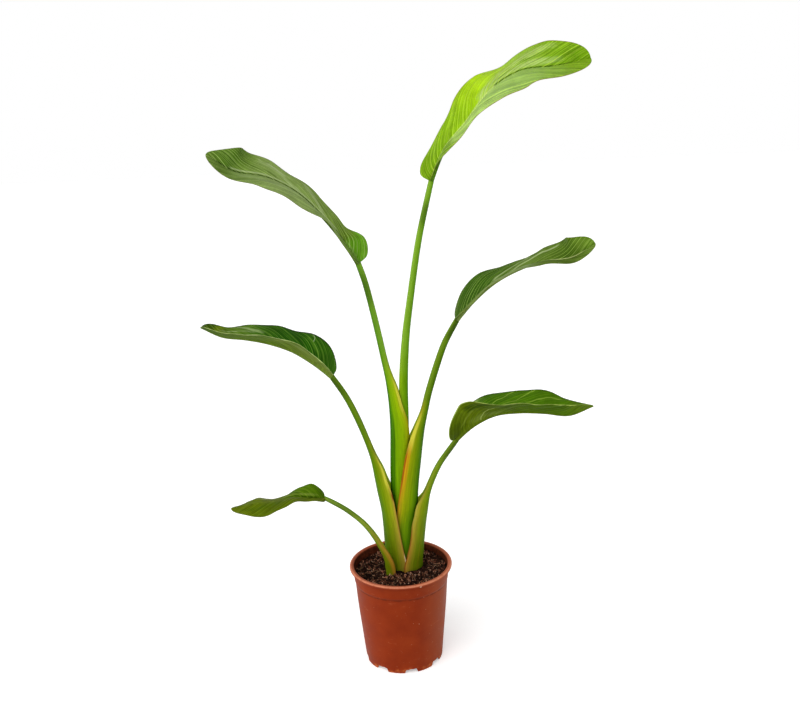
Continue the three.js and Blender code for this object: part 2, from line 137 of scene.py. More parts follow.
# %% Grid helpers
def quads(rows, columns, start=0, around=False, closed=False):
    """Corner numbers of the faces of a grid whose point (j, i) is number start + j * columns + i.
    With around, the last column is joined to the first; with closed, the last row is too."""
    j, i = np.meshgrid(np.arange(rows - (not closed)), np.arange(columns - (not around)),
                       indexing="ij")
    beside, above = (i + 1) % columns, (j + 1) % rows
    corners = [j * columns + i, j * columns + beside, above * columns + beside, above * columns + i]
    return start + np.stack([c.ravel() for c in corners], axis=1)


def around_axis(radius, angle, height):
    """Points given by their distance from the upright axis, angle round it and height."""
    rows = np.broadcast_arrays(radius * np.cos(angle), radius * np.sin(angle), height)
    return np.stack(rows, axis=-1)


def make_piece(name, points, faces, material, maps=None, smooth=True):
    """A mesh object from arrays of points and faces. maps holds UV maps by name, two numbers for
    each point."""
    mesh = bpy.data.meshes.new(name)
    mesh.from_pydata(points.reshape(-1, 3).tolist(), [], [f.tolist() for f in faces])
    corner_points = np.zeros(len(mesh.loops), np.int32)
    mesh.loops.foreach_get("vertex_index", corner_points)
    for map_name, values in (maps or {}).items():
        layer = mesh.uv_layers.new(name=map_name)
        by_corner = values.reshape(-1, 2)[corner_points].astype(np.float32)
        layer.data.foreach_set("uv", by_corner.ravel())
    mesh.polygons.foreach_set("use_smooth", np.full(len(mesh.polygons), smooth))
    mesh.materials.append(material)
    mesh.validate()
    print(f"{name}: {len(mesh.vertices)} points, {len(mesh.polygons)} faces")
    return put(name, mesh)


def shell_faces(rows, columns):
    """Faces of a closed shell between two grids, the front one numbered first. The back one is
    wound the other way round, and strips of faces join the four edges."""
    front = quads(rows, columns)
    back = quads(rows, columns, start=rows * columns)[:, ::-1]
    number = np.arange(rows * columns).reshape(rows, columns)
    rim = np.concatenate([number[0], number[1:, -1], number[-1, -2::-1], number[-2:0:-1, 0]])
    after = np.roll(rim, -1)
    other = rows * columns
    edge = np.stack([rim, rim + other, after + other, after], axis=1)
    return np.vstack([front, back, edge])


def signed_volume(points, faces):
    """Volume inside a closed mesh: the sum of the tetrahedra from the origin to each half face."""
    a, b, c, d = (points.reshape(-1, 3)[faces[:, k]] for k in range(4))
    halves = np.einsum("ij,ij->i", a, np.cross(b, c)) + np.einsum("ij,ij->i", a, np.cross(c, d))
    return halves.sum() / 6


def outward(points, faces):
    """The faces of a closed mesh, turned to point out of it."""
    return faces if signed_volume(points, faces) > 0 else faces[:, ::-1]


def make_shell(name, front, back, material, maps):
    """A closed piece between two sheets of points."""
    points = np.stack([front, back])
    faces = outward(points, shell_faces(*front.shape[:2]))
    doubled = {key: np.stack([f, b]) for key, (f, b) in maps.items()}
    return make_piece(name, points, faces, material, doubled)

# %% [markdown]
# ## Curves and noise
# Two pieces of mathematics come back all the time. A Catmull-Rom spline draws a smooth curve
# through a few chosen points. Value noise gives soft random lumps: random heights on a lattice,
# blended smoothly between the lattice points, the same on every run because the seed is fixed.


# %% Splines, steps and noise
NUDGE = 1e-3
LATTICE = 64


def between(rows, u):
    """Uniform Catmull-Rom curve through rows of numbers, at places u from 0 to 1. Between two rows
    it is a cubic whose slope at each row is half the step between that row's neighbours."""
    rows = np.asarray(rows, float)
    padded = np.vstack([2 * rows[0] - rows[1], rows, 2 * rows[-1] - rows[-2]])
    place = np.clip(u, 0, 1 - 1e-9) * (len(rows) - 1)
    i = place.astype(int)
    f = (place - i)[..., None]
    a, b, c, d = (padded[i + k] for k in range(4))
    bend = 2 * a - 5 * b + 4 * c - d
    twist = 3 * b - a - 3 * c + d
    return 0.5 * (2 * b + (c - a) * f + bend * f**2 + twist * f**3)


def heading(curve, u):
    """Unit direction of a curve, given as a function of u from 0 to 1, at the places u."""
    return unit(curve(np.minimum(1, u + NUDGE)) - curve(np.maximum(0, u - NUDGE)))


def run_length(points):
    """Length along a row of points, from its start to each of them."""
    return np.cumsum(np.r_[0, np.linalg.norm(np.diff(points, axis=0), axis=1)])


def smoothstep(x, low, high):
    """0 below low, 1 above high, and 3k^2 - 2k^3 in between."""
    k = np.clip((x - low) / (high - low), 0, 1)
    return k * k * (3 - 2 * k)


def unit(v):
    return v / np.linalg.norm(v, axis=-1, keepdims=True)


def lumps(x, y, cell, seed):
    """Value noise from -1 to 1: random heights on a square lattice of the given cell, mixed with
    smooth weights. The lattice repeats after LATTICE cells."""
    table = np.random.default_rng(seed).uniform(-1, 1, (LATTICE, LATTICE))
    gx, gy = np.floor(x / cell).astype(int), np.floor(y / cell).astype(int)
    fx, fy = smoothstep(x / cell - gx, 0, 1), smoothstep(y / cell - gy, 0, 1)
    corner = lambda i, j: table[(gx + i) % LATTICE, (gy + j) % LATTICE]
    low = corner(0, 0) * (1 - fx) + corner(1, 0) * fx
    high = corner(0, 1) * (1 - fx) + corner(1, 1) * fx
    return low * (1 - fy) + high * fy


print("spline check:", between([[0.0], [1.0], [4.0]], np.array([0, 0.5, 1])).ravel().round(3))

# %% [markdown]
# ## The leaves' measures
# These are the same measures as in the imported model, in millimetres. A stalk's rows go up from
# its buried end: the x and z of its outer ridge, the half width and half depth of the ellipse its
# section lies on, the degrees that the section wraps to each side, and its wall at the ridge. A
# blade has the points of its rib, and from base to tip the angles at which the half behind and the
# half in front of the rib rise, and how much wider or narrower than usual each half grew.

# %% Leaf measures
SOIL_TOP = 158
BURIED = 50
BASE_Z = SOIL_TOP - BURIED
FAN_Y = 10
SHEATH_SIDE = 1.6
LEAVES = [
    SimpleNamespace(
        number=1, side=1, base_y=FAN_Y, free=500, turn=0,
        rows=[
            [15, BASE_Z, 9.5, 7, 120, 12.4], [17, 300, 9.8, 7, 120, 12.6],
            [22.5, 400, 9.6, 6.8, 120, 12.6], [24.2, 480, 9.5, 6.8, 120, 12.6],
            [29, 550, 8, 6, 120, 10.6], [37.7, 613, 7, 5.3, 120, 9.1],
            [53.8, 707, 6.3, 4.7, 120, 8],
        ],
        top=[5.6, 4.2, 120, 7],
        rib=[
            [68, 6, 796], [91, 6, 843], [126, 6, 882], [160, 5, 923], [204, 5, 949], [257, 4, 954],
            [307, 4, 963],
        ],
        far=[60, 23, 22, 33, 27, 15, 34, 67, 78], near=[0, -5, -8, -3, -14, -20, -16, -17, -24],
        far_wide=[1, 1.08, 1.04, 1.02, 0.99, 0.94, 1.01, 0.8, 0.83],
        near_wide=[1, 0.83, 0.87, 0.95, 1.02, 1.03, 1.04, 1.01, 0.96], half=60, widest=0.62, base=2,
        blunt=0.5, wave=0.8,
    ),
    SimpleNamespace(
        number=2, side=-1, base_y=FAN_Y, free=500, turn=0,
        rows=[
            [-12, BASE_Z, 17.4, 12.4, 165, 9], [-11, 300, 17, 12, 165, 9],
            [-7.5, 400, 16, 11.7, 155, 10.4], [-8, 443, 15, 11.2, 119, 10.4],
            [-10, 470, 12.5, 9.2, 115, 11.4], [-12.5, 492, 8.6, 6.6, 120, 11.8],
            [-17, 519, 6.9, 5.3, 120, 9.2], [-28, 584, 6.4, 4.7, 120, 8.2],
            [-39, 640, 6.1, 4.5, 120, 7.8],
        ],
        top=[6, 4.4, 120, 7.4],
        rib=[
            [-42, 2, 677], [-68, 0, 718], [-98, -1, 756], [-132, -3, 790], [-174, -5, 813],
            [-221, -8, 824], [-258, -10, 851],
        ],
        far=[60, 18, 13, 14, 12, 17, 32, 54, 23], near=[-8, -6, 6, -3, -9, -8, -9, -8, -18],
        far_wide=[1, 1, 0.98, 0.98, 0.98, 0.98, 1.02, 1.06, 1.08],
        near_wide=[1, 0.7, 0.78, 0.91, 0.99, 1.03, 1.04, 1.03, 0.93], half=52, widest=0.6, base=2,
        blunt=0.6, wave=1.4,
    ),
    SimpleNamespace(
        number=3, side=1, base_y=FAN_Y, free=440, turn=0,
        rows=[
            [29.4, BASE_Z, 23.5, 16.8, 160, 4.6], [30.2, 190, 24, 16.6, 135, 5.2],
            [32.3, 260, 25.4, 16.4, 112, 6.6], [34.7, 300, 26, 16.9, 101, 8],
            [41, 350, 24, 16.8, 100, 12.4], [44.3, 375, 20, 15.2, 104, 15.8],
            [48.4, 402, 12.6, 10.6, 118, 15.6], [54.5, 430, 8.4, 6.7, 120, 11.5],
            [62, 462, 7.2, 5.6, 120, 9.8], [77.4, 514, 6.7, 4.8, 120, 8.7],
            [89, 547, 6.2, 4.5, 120, 7.9],
        ],
        top=[5.6, 4.1, 120, 6.9],
        rib=[
            [101, -8, 584.6], [129, -15, 616], [160, -22, 643], [195, -31, 663], [232, -40, 676],
            [272, -50, 682], [305, -58, 703],
        ],
        far=[14, 25, 21, 6, 2, 10, 32, 70, 70], near=[17, 9, 11, 12, 12, 9, 3, -1, -10],
        far_wide=[1, 1.1, 1.08, 1.06, 1, 0.94, 0.94, 0.92, 1],
        near_wide=[1, 0.85, 0.91, 0.96, 0.99, 0.99, 0.97, 0.98, 0.97], half=46, widest=0.5,
        base=2.2, blunt=0.5, wave=0.9,
    ),
    SimpleNamespace(
        number=4, side=-1, base_y=FAN_Y, free=360, turn=0,
        rows=[
            [-26.6, BASE_Z, 31.8, 20.8, 100, 7], [-26.6, 165, 31.8, 20.8, 100, 7],
            [-25.5, 200, 29.5, 20.6, 92, 6], [-27.6, 256, 25, 21, 90, 10],
            [-33, 293, 21, 17.5, 100, 17], [-36.5, 318, 15.8, 12.3, 107, 18],
            [-39.3, 339, 11.2, 9, 118, 15.4], [-43, 358, 7.8, 6.8, 120, 11],
            [-51, 385, 6.4, 5.2, 120, 8.6], [-63.6, 418, 6.4, 4.7, 120, 8.2],
            [-79, 452, 6.1, 4.5, 120, 7.8],
        ],
        top=[5.8, 4.3, 120, 7.2],
        rib=[
            [-95, 22, 492], [-126, 27, 515], [-159, 33, 534], [-196, 39, 546], [-233, 46, 552],
            [-271, 52, 556], [-305, 58, 571],
        ],
        far=[18, 48, 41, 27, 27, 23, 20, 21, 38], near=[21, 29, 33, 32, 29, 26, 27, 29, 27],
        far_wide=[1, 1.09, 1.09, 1.01, 0.98, 0.97, 0.94, 0.91, 0.92],
        near_wide=[1, 1, 1, 1, 1, 1, 1, 1, 1], half=46, widest=0.42, base=2.2, blunt=0.5, wave=0.8,
    ),
    SimpleNamespace(
        number=5, side=1, base_y=FAN_Y, free=285, turn=0,
        rows=[
            [37, BASE_Z, 31.8, 24.2, 90, 6.6], [37, 162, 31.8, 24.2, 90, 6.6],
            [39, 184, 28.5, 23, 90, 7.4], [42, 211, 25, 21.6, 90, 8.4],
            [45.5, 239, 22.5, 20, 95, 10], [48.3, 256, 18.5, 18.6, 103, 10],
            [51, 273, 13.8, 13.8, 118, 13], [54, 288, 8.6, 7.5, 120, 12.1],
            [59.2, 305, 6.7, 5.6, 120, 9.1], [69.4, 332, 5.9, 4.6, 120, 7.8],
            [79.4, 352, 5.5, 4.2, 120, 7.1],
        ],
        top=[5.3, 4, 120, 6.6],
        rib=[
            [96.2, -10, 388.8], [125, -17, 414], [158, -25, 432], [195, -34, 438], [233, -43, 438],
            [270, -52, 436], [305, -60, 452],
        ],
        far=[18, 18, 20, 22, 26, 35, 30, 22, -7], near=[20, 80, 60, 39, 37, 37, 43, 57, 50],
        far_wide=[1, 1.3, 1.2, 1.07, 1.03, 1.04, 1.04, 1.04, 0.97],
        near_wide=[1, 0.94, 1.3, 1.09, 1, 0.98, 0.96, 0.99, 0.99], half=46, widest=0.45, base=2.3,
        blunt=0.6, wave=0.8,
    ),
    SimpleNamespace(
        number=6, side=-1, base_y=-16, free=165, turn=50,
        rows=[
            [-25, BASE_Z, 8.5, 8, 115, 9], [-25, 165, 8.5, 8, 115, 9],
            [-28.5, 190, 7.6, 6.3, 118, 8.6], [-37.3, 213, 6.2, 5, 120, 7.9],
            [-50.1, 238.5, 5.4, 4.3, 120, 6.9], [-64.7, 259, 4.9, 3.9, 120, 6.2],
            [-87.8, 281, 4.6, 3.7, 120, 5.7],
        ],
        top=[4.4, 3.5, 120, 5.4],
        rib=[
            [-116, -30, 306], [-140, -34, 308], [-165, -37, 312], [-189, -41, 309],
            [-214, -45, 308], [-238, -48, 306], [-263, -52, 304],
        ],
        far=[8, 38, 8, -10, -19, -13, -5, -15, -20], near=[-13, 7, 9, 3, -4, -15, -28, -22, -26],
        far_wide=[1, 1.03, 1.01, 0.99, 0.99, 0.97, 0.99, 1.01, 1.01],
        near_wide=[1, 0.75, 0.8, 0.92, 1, 1.06, 0.98, 0.95, 0.95], half=33, widest=0.45, base=2,
        blunt=0.6, wave=0.9,
    ),
]


def leaf_axes(run, side):
    """The direction across a leaf and the one out of its upper face, where its midline runs along
    run: across is Y made square to run, and up is the cross product of the two."""
    across = unit(np.array([0.0, 1.0, 0.0]) - run * run[..., 1:2])
    return across, side * np.cross(run, across)


def neck(leaf):
    """Where a blade begins: the rib's first point, its direction, and the direction out of the
    upper face."""
    start = between(leaf.rib, np.zeros(1))[0]
    run = heading(lambda u: between(leaf.rib, u), np.zeros(1))[0]
    return start, run, leaf_axes(run, leaf.side)[1]


print("leaves:", [f"{leaf.number} to {'right' if leaf.side > 0 else 'left'}" for leaf in LEAVES])

# %% [markdown]
# ## A small vocabulary for finishes
# A finish is a graph of shader nodes. Writing it out node by node is long, so a few helpers name
# the steps that come back: a noise, a colour ramp, a product, a mixture, a bump. Colours are given
# as they look on a screen, red, green and blue from 0 to 255, and are turned into the linear values
# that a shader works with. The world behind the plant is a graph too, so the helpers that add nodes
# are kept apart from those that make a material.


# %% Node helpers
FINE_STROKE = 0.05


def paint(screen_colour):
    """Screen colour to linear colour: the usual curve with its straight part near black."""
    screen = np.array(screen_colour) / 255
    linear = np.where(screen <= 0.04045, screen / 12.92, ((screen + 0.055) / 1.055) ** 2.4)
    return (*linear.tolist(), 1.0)


class Graph:
    """The node tree of a world or a material, and methods that add nodes to it."""

    def __init__(self, owner):
        owner.use_nodes = True
        self.tree = owner.node_tree

    def link(self, value, socket):
        self.tree.links.new(value, socket)

    def add(self, kind, inputs=None, **settings):
        """A node with its settings; inputs are numbers, or the outputs of other nodes."""
        made = self.tree.nodes.new("ShaderNode" + kind)
        for key, value in settings.items():
            setattr(made, key, value)
        for key, value in (inputs or {}).items():
            if isinstance(value, bpy.types.NodeSocket):
                self.link(value, made.inputs[key])
            else:
                made.inputs[key].default_value = value
        return made

    def place(self):
        return self.add("TexCoord").outputs["Object"]

    def parts(self, vector):
        return self.add("SeparateXYZ", {0: vector}).outputs

    def camera_ray(self):
        """1 where the camera looks straight at a surface, 0 for light that only passes on."""
        return self.add("LightPath").outputs["Is Camera Ray"]

    def stretch(self, vector, scale):
        return self.add("Mapping", {"Vector": vector, "Scale": scale}).outputs[0]

    def noise(self, vector, scale, detail=3.0, rough=0.5):
        inputs = {"Vector": vector, "Scale": scale, "Detail": detail, "Roughness": rough}
        return self.add("TexNoise", inputs).outputs["Fac"]

    def drawn_out(self, across, along, dense, sparse, detail, rough=0.5, scale=1.0):
        """Noise in fine stripes: dense across, sparse along."""
        scaled = {0: self.times(across, dense), 1: self.times(along, sparse)}
        return self.noise(self.add("CombineXYZ", scaled).outputs[0], scale, detail, rough)

    def maths(self, operation, a, b=0.0, c=0.0, clamp=False):
        return self.add("Math", {0: a, 1: b, 2: c}, operation=operation, use_clamp=clamp).outputs[0]

    def times(self, a, b):
        return self.maths("MULTIPLY", a, b)

    def span(self, value, low, high, to_low=0.0, to_high=1.0, how="SMOOTHSTEP"):
        """value carried from low..high to to_low..to_high with smooth ends, and held outside."""
        inputs = {0: value, 1: low, 2: high, 3: to_low, 4: to_high}
        return self.add("MapRange", inputs, interpolation_type=how).outputs[0]

    def band(self, value, rise, fall):
        """1 between the two ranges rise and fall, soft at both, and 0 outside."""
        return self.times(self.span(value, *rise), self.span(value, *fall, 1.0, 0.0))

    def ramp(self, value, stops):
        """Colour by value: stops are screen colours by place."""
        made = self.add("ValToRGB", {0: value})
        elements = made.color_ramp.elements
        while len(elements) < len(stops):
            elements.new(0.5)
        for element, where in zip(elements, stops):
            element.position = where
            element.color = paint(stops[where])
        return made.outputs[0]

    def blend(self, factor, a, b, how="MIX"):
        """a, and b where factor is 1; either may be a screen colour."""
        a, b = (paint(c) if isinstance(c, tuple) else c for c in (a, b))
        return self.add("Mix", {0: factor, 6: a, 7: b}, data_type="RGBA", blend_type=how).outputs[2]

    def shade(self, colour, value, low, high, dark, light):
        """The colour multiplied by a grey that goes from dark to light with value."""
        grey = self.span(value, low, high, dark, light)
        grey = self.add("CombineXYZ", {0: grey, 1: grey, 2: grey}).outputs[0]
        return self.blend(1.0, colour, grey, "MULTIPLY")

    def strokes(self, colour, along, side, marks, amount=1.0):
        """Soft brush strokes over a colour. A mark is (start, end, side at start, side at end, half
        width, colour, strength): it runs along one number and its middle lies at the other. Wide
        strokes are broken up by amount, fine ones stay whole."""
        for start, end, side_start, side_end, wide, tint, strength in marks:
            # the ends fade over 30 mm, or over 0.03 of a measure that runs from 0 to 1
            soft = min(0.35 * (end - start), 0.03 if end <= 1 else 30)
            middle = self.span(along, start, end, side_start, side_end, "LINEAR")
            away = self.maths("ABSOLUTE", self.maths("SUBTRACT", side, middle))
            body = self.span(away, 0.3 * wide, wide, strength, 0)
            if wide > FINE_STROKE:
                body = self.times(body, amount)
            ends = self.band(along, (start - soft, start + soft), (end - soft, end + soft))
            colour = self.blend(self.maths("MULTIPLY", body, ends, clamp=True), colour, tint)
        return colour

    def bump(self, height, distance, strength=1.0, under=None):
        inputs = {"Height": height, "Distance": distance, "Strength": strength}
        if under:
            inputs["Normal"] = under
        return self.add("Bump", inputs).outputs[0]


class Finish(Graph):
    """One material with a Principled shader, given its constants by socket name."""

    def __init__(self, name, **constants):
        self.material = bpy.data.materials.new(name)
        super().__init__(self.material)
        self.shader = self.tree.nodes["Principled BSDF"]
        for socket, value in constants.items():
            self.shader.inputs[socket.replace("_", " ")].default_value = value

    def map_parts(self, name):
        """The two numbers of a UV map."""
        return self.parts(self.add("UVMap", uv_map=name).outputs[0])[:2]

    def wear(self, **links):
        """Links the shader's sockets to what the nodes worked out, and gives the material."""
        for socket, value in links.items():
            self.link(value, self.shader.inputs[socket.replace("_", " ")])
        return self.material


print("terracotta in linear light:", [round(v, 3) for v in paint((150, 62, 32))[:3]])

# %% [markdown]
# ## Floor and daylight
# The plant stands in flat, bright light in front of plain white. A wide white floor that glows a
# little runs into a white world, so that no horizon shows. The plant itself should not be lit by so
# much white, which would wash out its greens: for every ray but the camera's own the world is
# dimmer, and dimmer still overhead. A sun lamp with a very wide disc, high in front, is the soft
# window that models the forms, and two weak round lamps from the sides brighten the edges.

# %% Floor and lamps
SCENE.view_settings.view_transform = "Standard"
ROOM_SIDES = 0.6
ROOM_TOP = 0.4
FLOOR_GLOW = 0.36
FLOOR_HALF = 8.0
WHITE = (1, 1, 1, 1)
PALE = (0.96, 0.96, 0.96, 1)


def point_at(name, lamp, place, aim):
    """A lamp at place that shines towards aim."""
    holder = put(name, lamp)
    holder.location = place
    holder.rotation_euler = (Vector(aim) - Vector(place)).to_track_quat("-Z", "Y").to_euler()


window = bpy.data.lights.new("window", "SUN")
window.energy = 1.85
window.angle = np.radians(60)
point_at("window", window, (-1.1, -1.5, 2.2), (0, 0, 0.4))
for side_name, x in (("left_lamp", -1.9), ("right_lamp", 1.9)):
    side_lamp = bpy.data.lights.new(side_name, "AREA")
    side_lamp.shape = "DISK"
    side_lamp.size = 1.0
    side_lamp.energy = 6
    point_at(side_name, side_lamp, (x, 0.1, 0.8), (0, 0, 0.35))

world = bpy.data.worlds.new("pale_room")
room = Graph(world)
upward = room.parts(room.add("TexCoord").outputs["Generated"])[2]
dimmed = room.span(upward, 0.2, 0.6, ROOM_SIDES, ROOM_TOP, "LINEAR")
background = room.tree.nodes["Background"].inputs
background["Color"].default_value = WHITE
room.link(room.maths("MAXIMUM", room.camera_ray(), dimmed), background["Strength"])
SCENE.world = world

floor_points = np.array([[-1, -1, 0], [1, -1, 0], [1, 1, 0], [-1, 1, 0]]) * FLOOR_HALF
floor_finish = Finish("pale_floor", Base_Color=PALE, Roughness=0.9, Emission_Color=WHITE)
floor_glow = floor_finish.times(floor_finish.camera_ray(), FLOOR_GLOW)
floor = make_piece("floor", floor_points, np.array([[0, 1, 2, 3]]),
                   floor_finish.wear(Emission_Strength=floor_glow))
floor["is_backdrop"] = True

# %% [markdown]
# ## Stalks
# A stalk is a channelled crescent all the way: wide and thin round the younger leaves at its foot,
# narrow and thick where it carries the blade. It could be a curve with a bevel profile, but the
# profile changes along the way, so a grid of points is simpler: one ring of the crescent for each
# station along the keel. The margins are drawn out thin, as on the real sheath.

# %% Stalk shape
STALK_STEPS = 12
STALK_COLUMNS = 49
MARGIN_THIN = 0.97
PLUG = 0.5  # how far a stalk's end runs into its blade


def stalk_sections(leaf):
    """Stations along a stalk: its middle, the direction out to the keel, the one across, the
    ellipse, wrap and wall there, and the length so far. The keel follows a spline through the rows;
    above the free height the sections turn from level to square to it, and the last few turn with
    the rib."""
    start, neck_run, neck_up = neck(leaf)
    keel_top = start - neck_up * leaf.top[-1]
    rows = np.array([*leaf.rows, [keel_top[0], keel_top[2], *leaf.top]])
    u = np.linspace(0, 1, (len(rows) - 1) * STALK_STEPS + 1)

    def keel(u):
        x, z = between(rows, u).T[:2]
        y = leaf.base_y + (start[1] - leaf.base_y) * smoothstep(z, leaf.free, keel_top[2])
        return np.stack([x, y, z], axis=1)

    run = heading(keel, u)
    run = unit(run + (neck_run - run) * smoothstep(u, 1 - 0.5 / (len(rows) - 1), 1)[:, None])
    x, z, a, b, wrap, wall = between(rows, u).T
    lean = smoothstep(z, leaf.free, leaf.free + 60)[:, None]
    axis = unit(np.array([0, 0, 1.0]) * (1 - lean) + run * lean)
    across, up = leaf_axes(axis, leaf.side)
    angle = -leaf.side * np.radians(leaf.turn) * (1 - lean)
    out = -up * np.cos(angle) - np.cross(axis, up) * np.sin(angle)
    beside = across * np.cos(angle) + np.cross(axis, across) * np.sin(angle)
    middle = keel(u) + up * a[:, None]
    middle[-1] += axis[-1] * PLUG
    return SimpleNamespace(middle=middle, out=out, beside=beside, a=a, b=b, wrap=np.radians(wrap),
                           wall=wall, along=run_length(keel(u)))


def make_stalk(leaf, material):
    """The crescent: outer points on the ellipse, inner ones drawn in by the wall, most at the keel
    and least at the margins, which end thin."""
    s = stalk_sections(leaf)
    share = np.linspace(-1, 1, STALK_COLUMNS)
    share = np.sign(share) * (1 - (1 - abs(share)) ** 1.25)
    theta = s.wrap[:, None] * share
    open_edge = np.cos(s.wrap)[:, None]
    inside = np.clip((np.cos(theta) - open_edge) / (1 - open_edge), 0, 1)
    a, b, wall = s.a[:, None], s.b[:, None], s.wall[:, None]
    thin = np.sqrt(1 - MARGIN_THIN * share**8)
    side_wall = np.minimum(SHEATH_SIDE, 0.35 * b) * thin

    def place(x, y):
        return s.middle[:, None] + s.out[:, None] * x[..., None] + s.beside[:, None] * y[..., None]

    outer = place(a * np.cos(theta), b * np.sin(theta))
    inner = place(a * np.cos(theta) - wall * inside**1.5, (b - side_wall) * np.sin(theta))
    around = np.stack(np.broadcast_arrays(share, s.along[:, None] * MM), axis=-1)
    maps = {"around": (around, around), "inside": (0 * around, around)}
    return make_shell(f"stalk_{leaf.number}", outer * MM, inner * MM, material, maps)


print("stalk of leaf 1 is", round(stalk_sections(LEAVES[0]).along[-1]), "mm long")

# %% [markdown]
# ## The finish of a stalk
# A stalk is smooth and a little waxy. Its colour runs across it, from deep green along the keel to
# yellow-green and yellow towards the margins of the sheath, which dry to an orange-brown edge, and
# it runs up it, from olive and tan near the soil to plain green under the blade. Three colour ramps
# across, for the foot, the sheath and the free stalk, are mixed by height. Noise that is stretched
# along the stalk gives the fine streaks of its fibres, and a few brush strokes give what this plant
# alone has: the yellow lips of the sheaths, a dry nick, a peeled strip, and painted shade at the
# necks under the blades. The inner face of a sheath has a painted glow, a little emitted light that
# stands in for light coming through its thin wall.


# %% Stalk finish
# painted glow: the inner face of a sheath emits a little light, in place of light through its wall
PAINTED_INNER_GLOW = 0.3  # light that comes through the thin wall of a sheath
# the inner sheath green is also the colour of that painted glow
INNER_SHEATH_AND_GLOW = (150, 172, 30)
INNER_STALK = (110, 150, 34)
YELLOW_LIP = (208, 206, 66)
CREAM_PEEL = (232, 212, 156)
RED_NICK = (118, 48, 14)
RED_EDGE = (158, 78, 14)
ORANGE_GLOW = (206, 142, 16)
# painted shade on the stalk just under each blade
NECK_SHADE = (48, 74, 14)
SOILED = (58, 52, 12)
BASE_FADE, SHEATH_FADE = 40, 45
SOIL_LINE = (140, 160, 0.5, 0.5, 0.9, SOILED, 0.5)
LIP = 0.96


def stalk_finish(leaf, base, sheath, free_stalk, base_top, sheath_top, marks=()):
    """base, sheath and free_stalk are colours from the keel to the margin, by share. base_top and
    sheath_top are the two heights, in millimetres, where one gives way to the next."""
    finish = Finish(f"stalk_green_{leaf.number}", Roughness=0.42, Specular_IOR_Level=0.04,
                    Emission_Color=paint(INNER_SHEATH_AND_GLOW))
    share, along = finish.map_parts("around")
    inner = finish.map_parts("inside")[0]
    side = finish.maths("ABSOLUTE", share)
    where = finish.place()
    height = finish.maths("DIVIDE", finish.parts(where)[2], MM)
    wander = finish.noise(where, 40, 2)
    high = finish.maths("ADD", height, finish.span(wander, 0.2, 0.8, -14, 14))
    to_sheath = finish.span(high, base_top - BASE_FADE, base_top + BASE_FADE)
    to_free = finish.span(high, sheath_top - SHEATH_FADE, sheath_top + SHEATH_FADE)
    colour = finish.blend(to_sheath, finish.ramp(side, base), finish.ramp(side, sheath))
    colour = finish.blend(to_free, colour, finish.ramp(side, free_stalk))
    colour = finish.strokes(colour, height, side, marks)
    within = finish.blend(to_free, INNER_SHEATH_AND_GLOW, INNER_STALK)
    colour = finish.blend(inner, colour, within)
    streaks = finish.drawn_out(share, along, 9, 9, 6, 0.6, 2.2)
    colour = finish.shade(colour, streaks, 0.25, 0.75, 0.8, 1.16)
    specks = finish.span(finish.noise(where, 420, 2), 0.68, 0.76, 0, 0.35)
    colour = finish.blend(specks, colour, (86, 72, 20))
    normal = finish.bump(finish.drawn_out(share, along, 60, 14, 3), 0.0006, 0.5)
    rough = finish.span(streaks, 0.2, 0.8, 0.36, 0.52)
    # painted glow on the inner face of a sheath, fading out up the free stalk
    painted_glow = finish.times(inner, finish.span(to_free, 0, 1, PAINTED_INNER_GLOW, 0))
    return finish.wear(Base_Color=colour, Normal=normal, Roughness=rough, Emission_Strength=painted_glow)
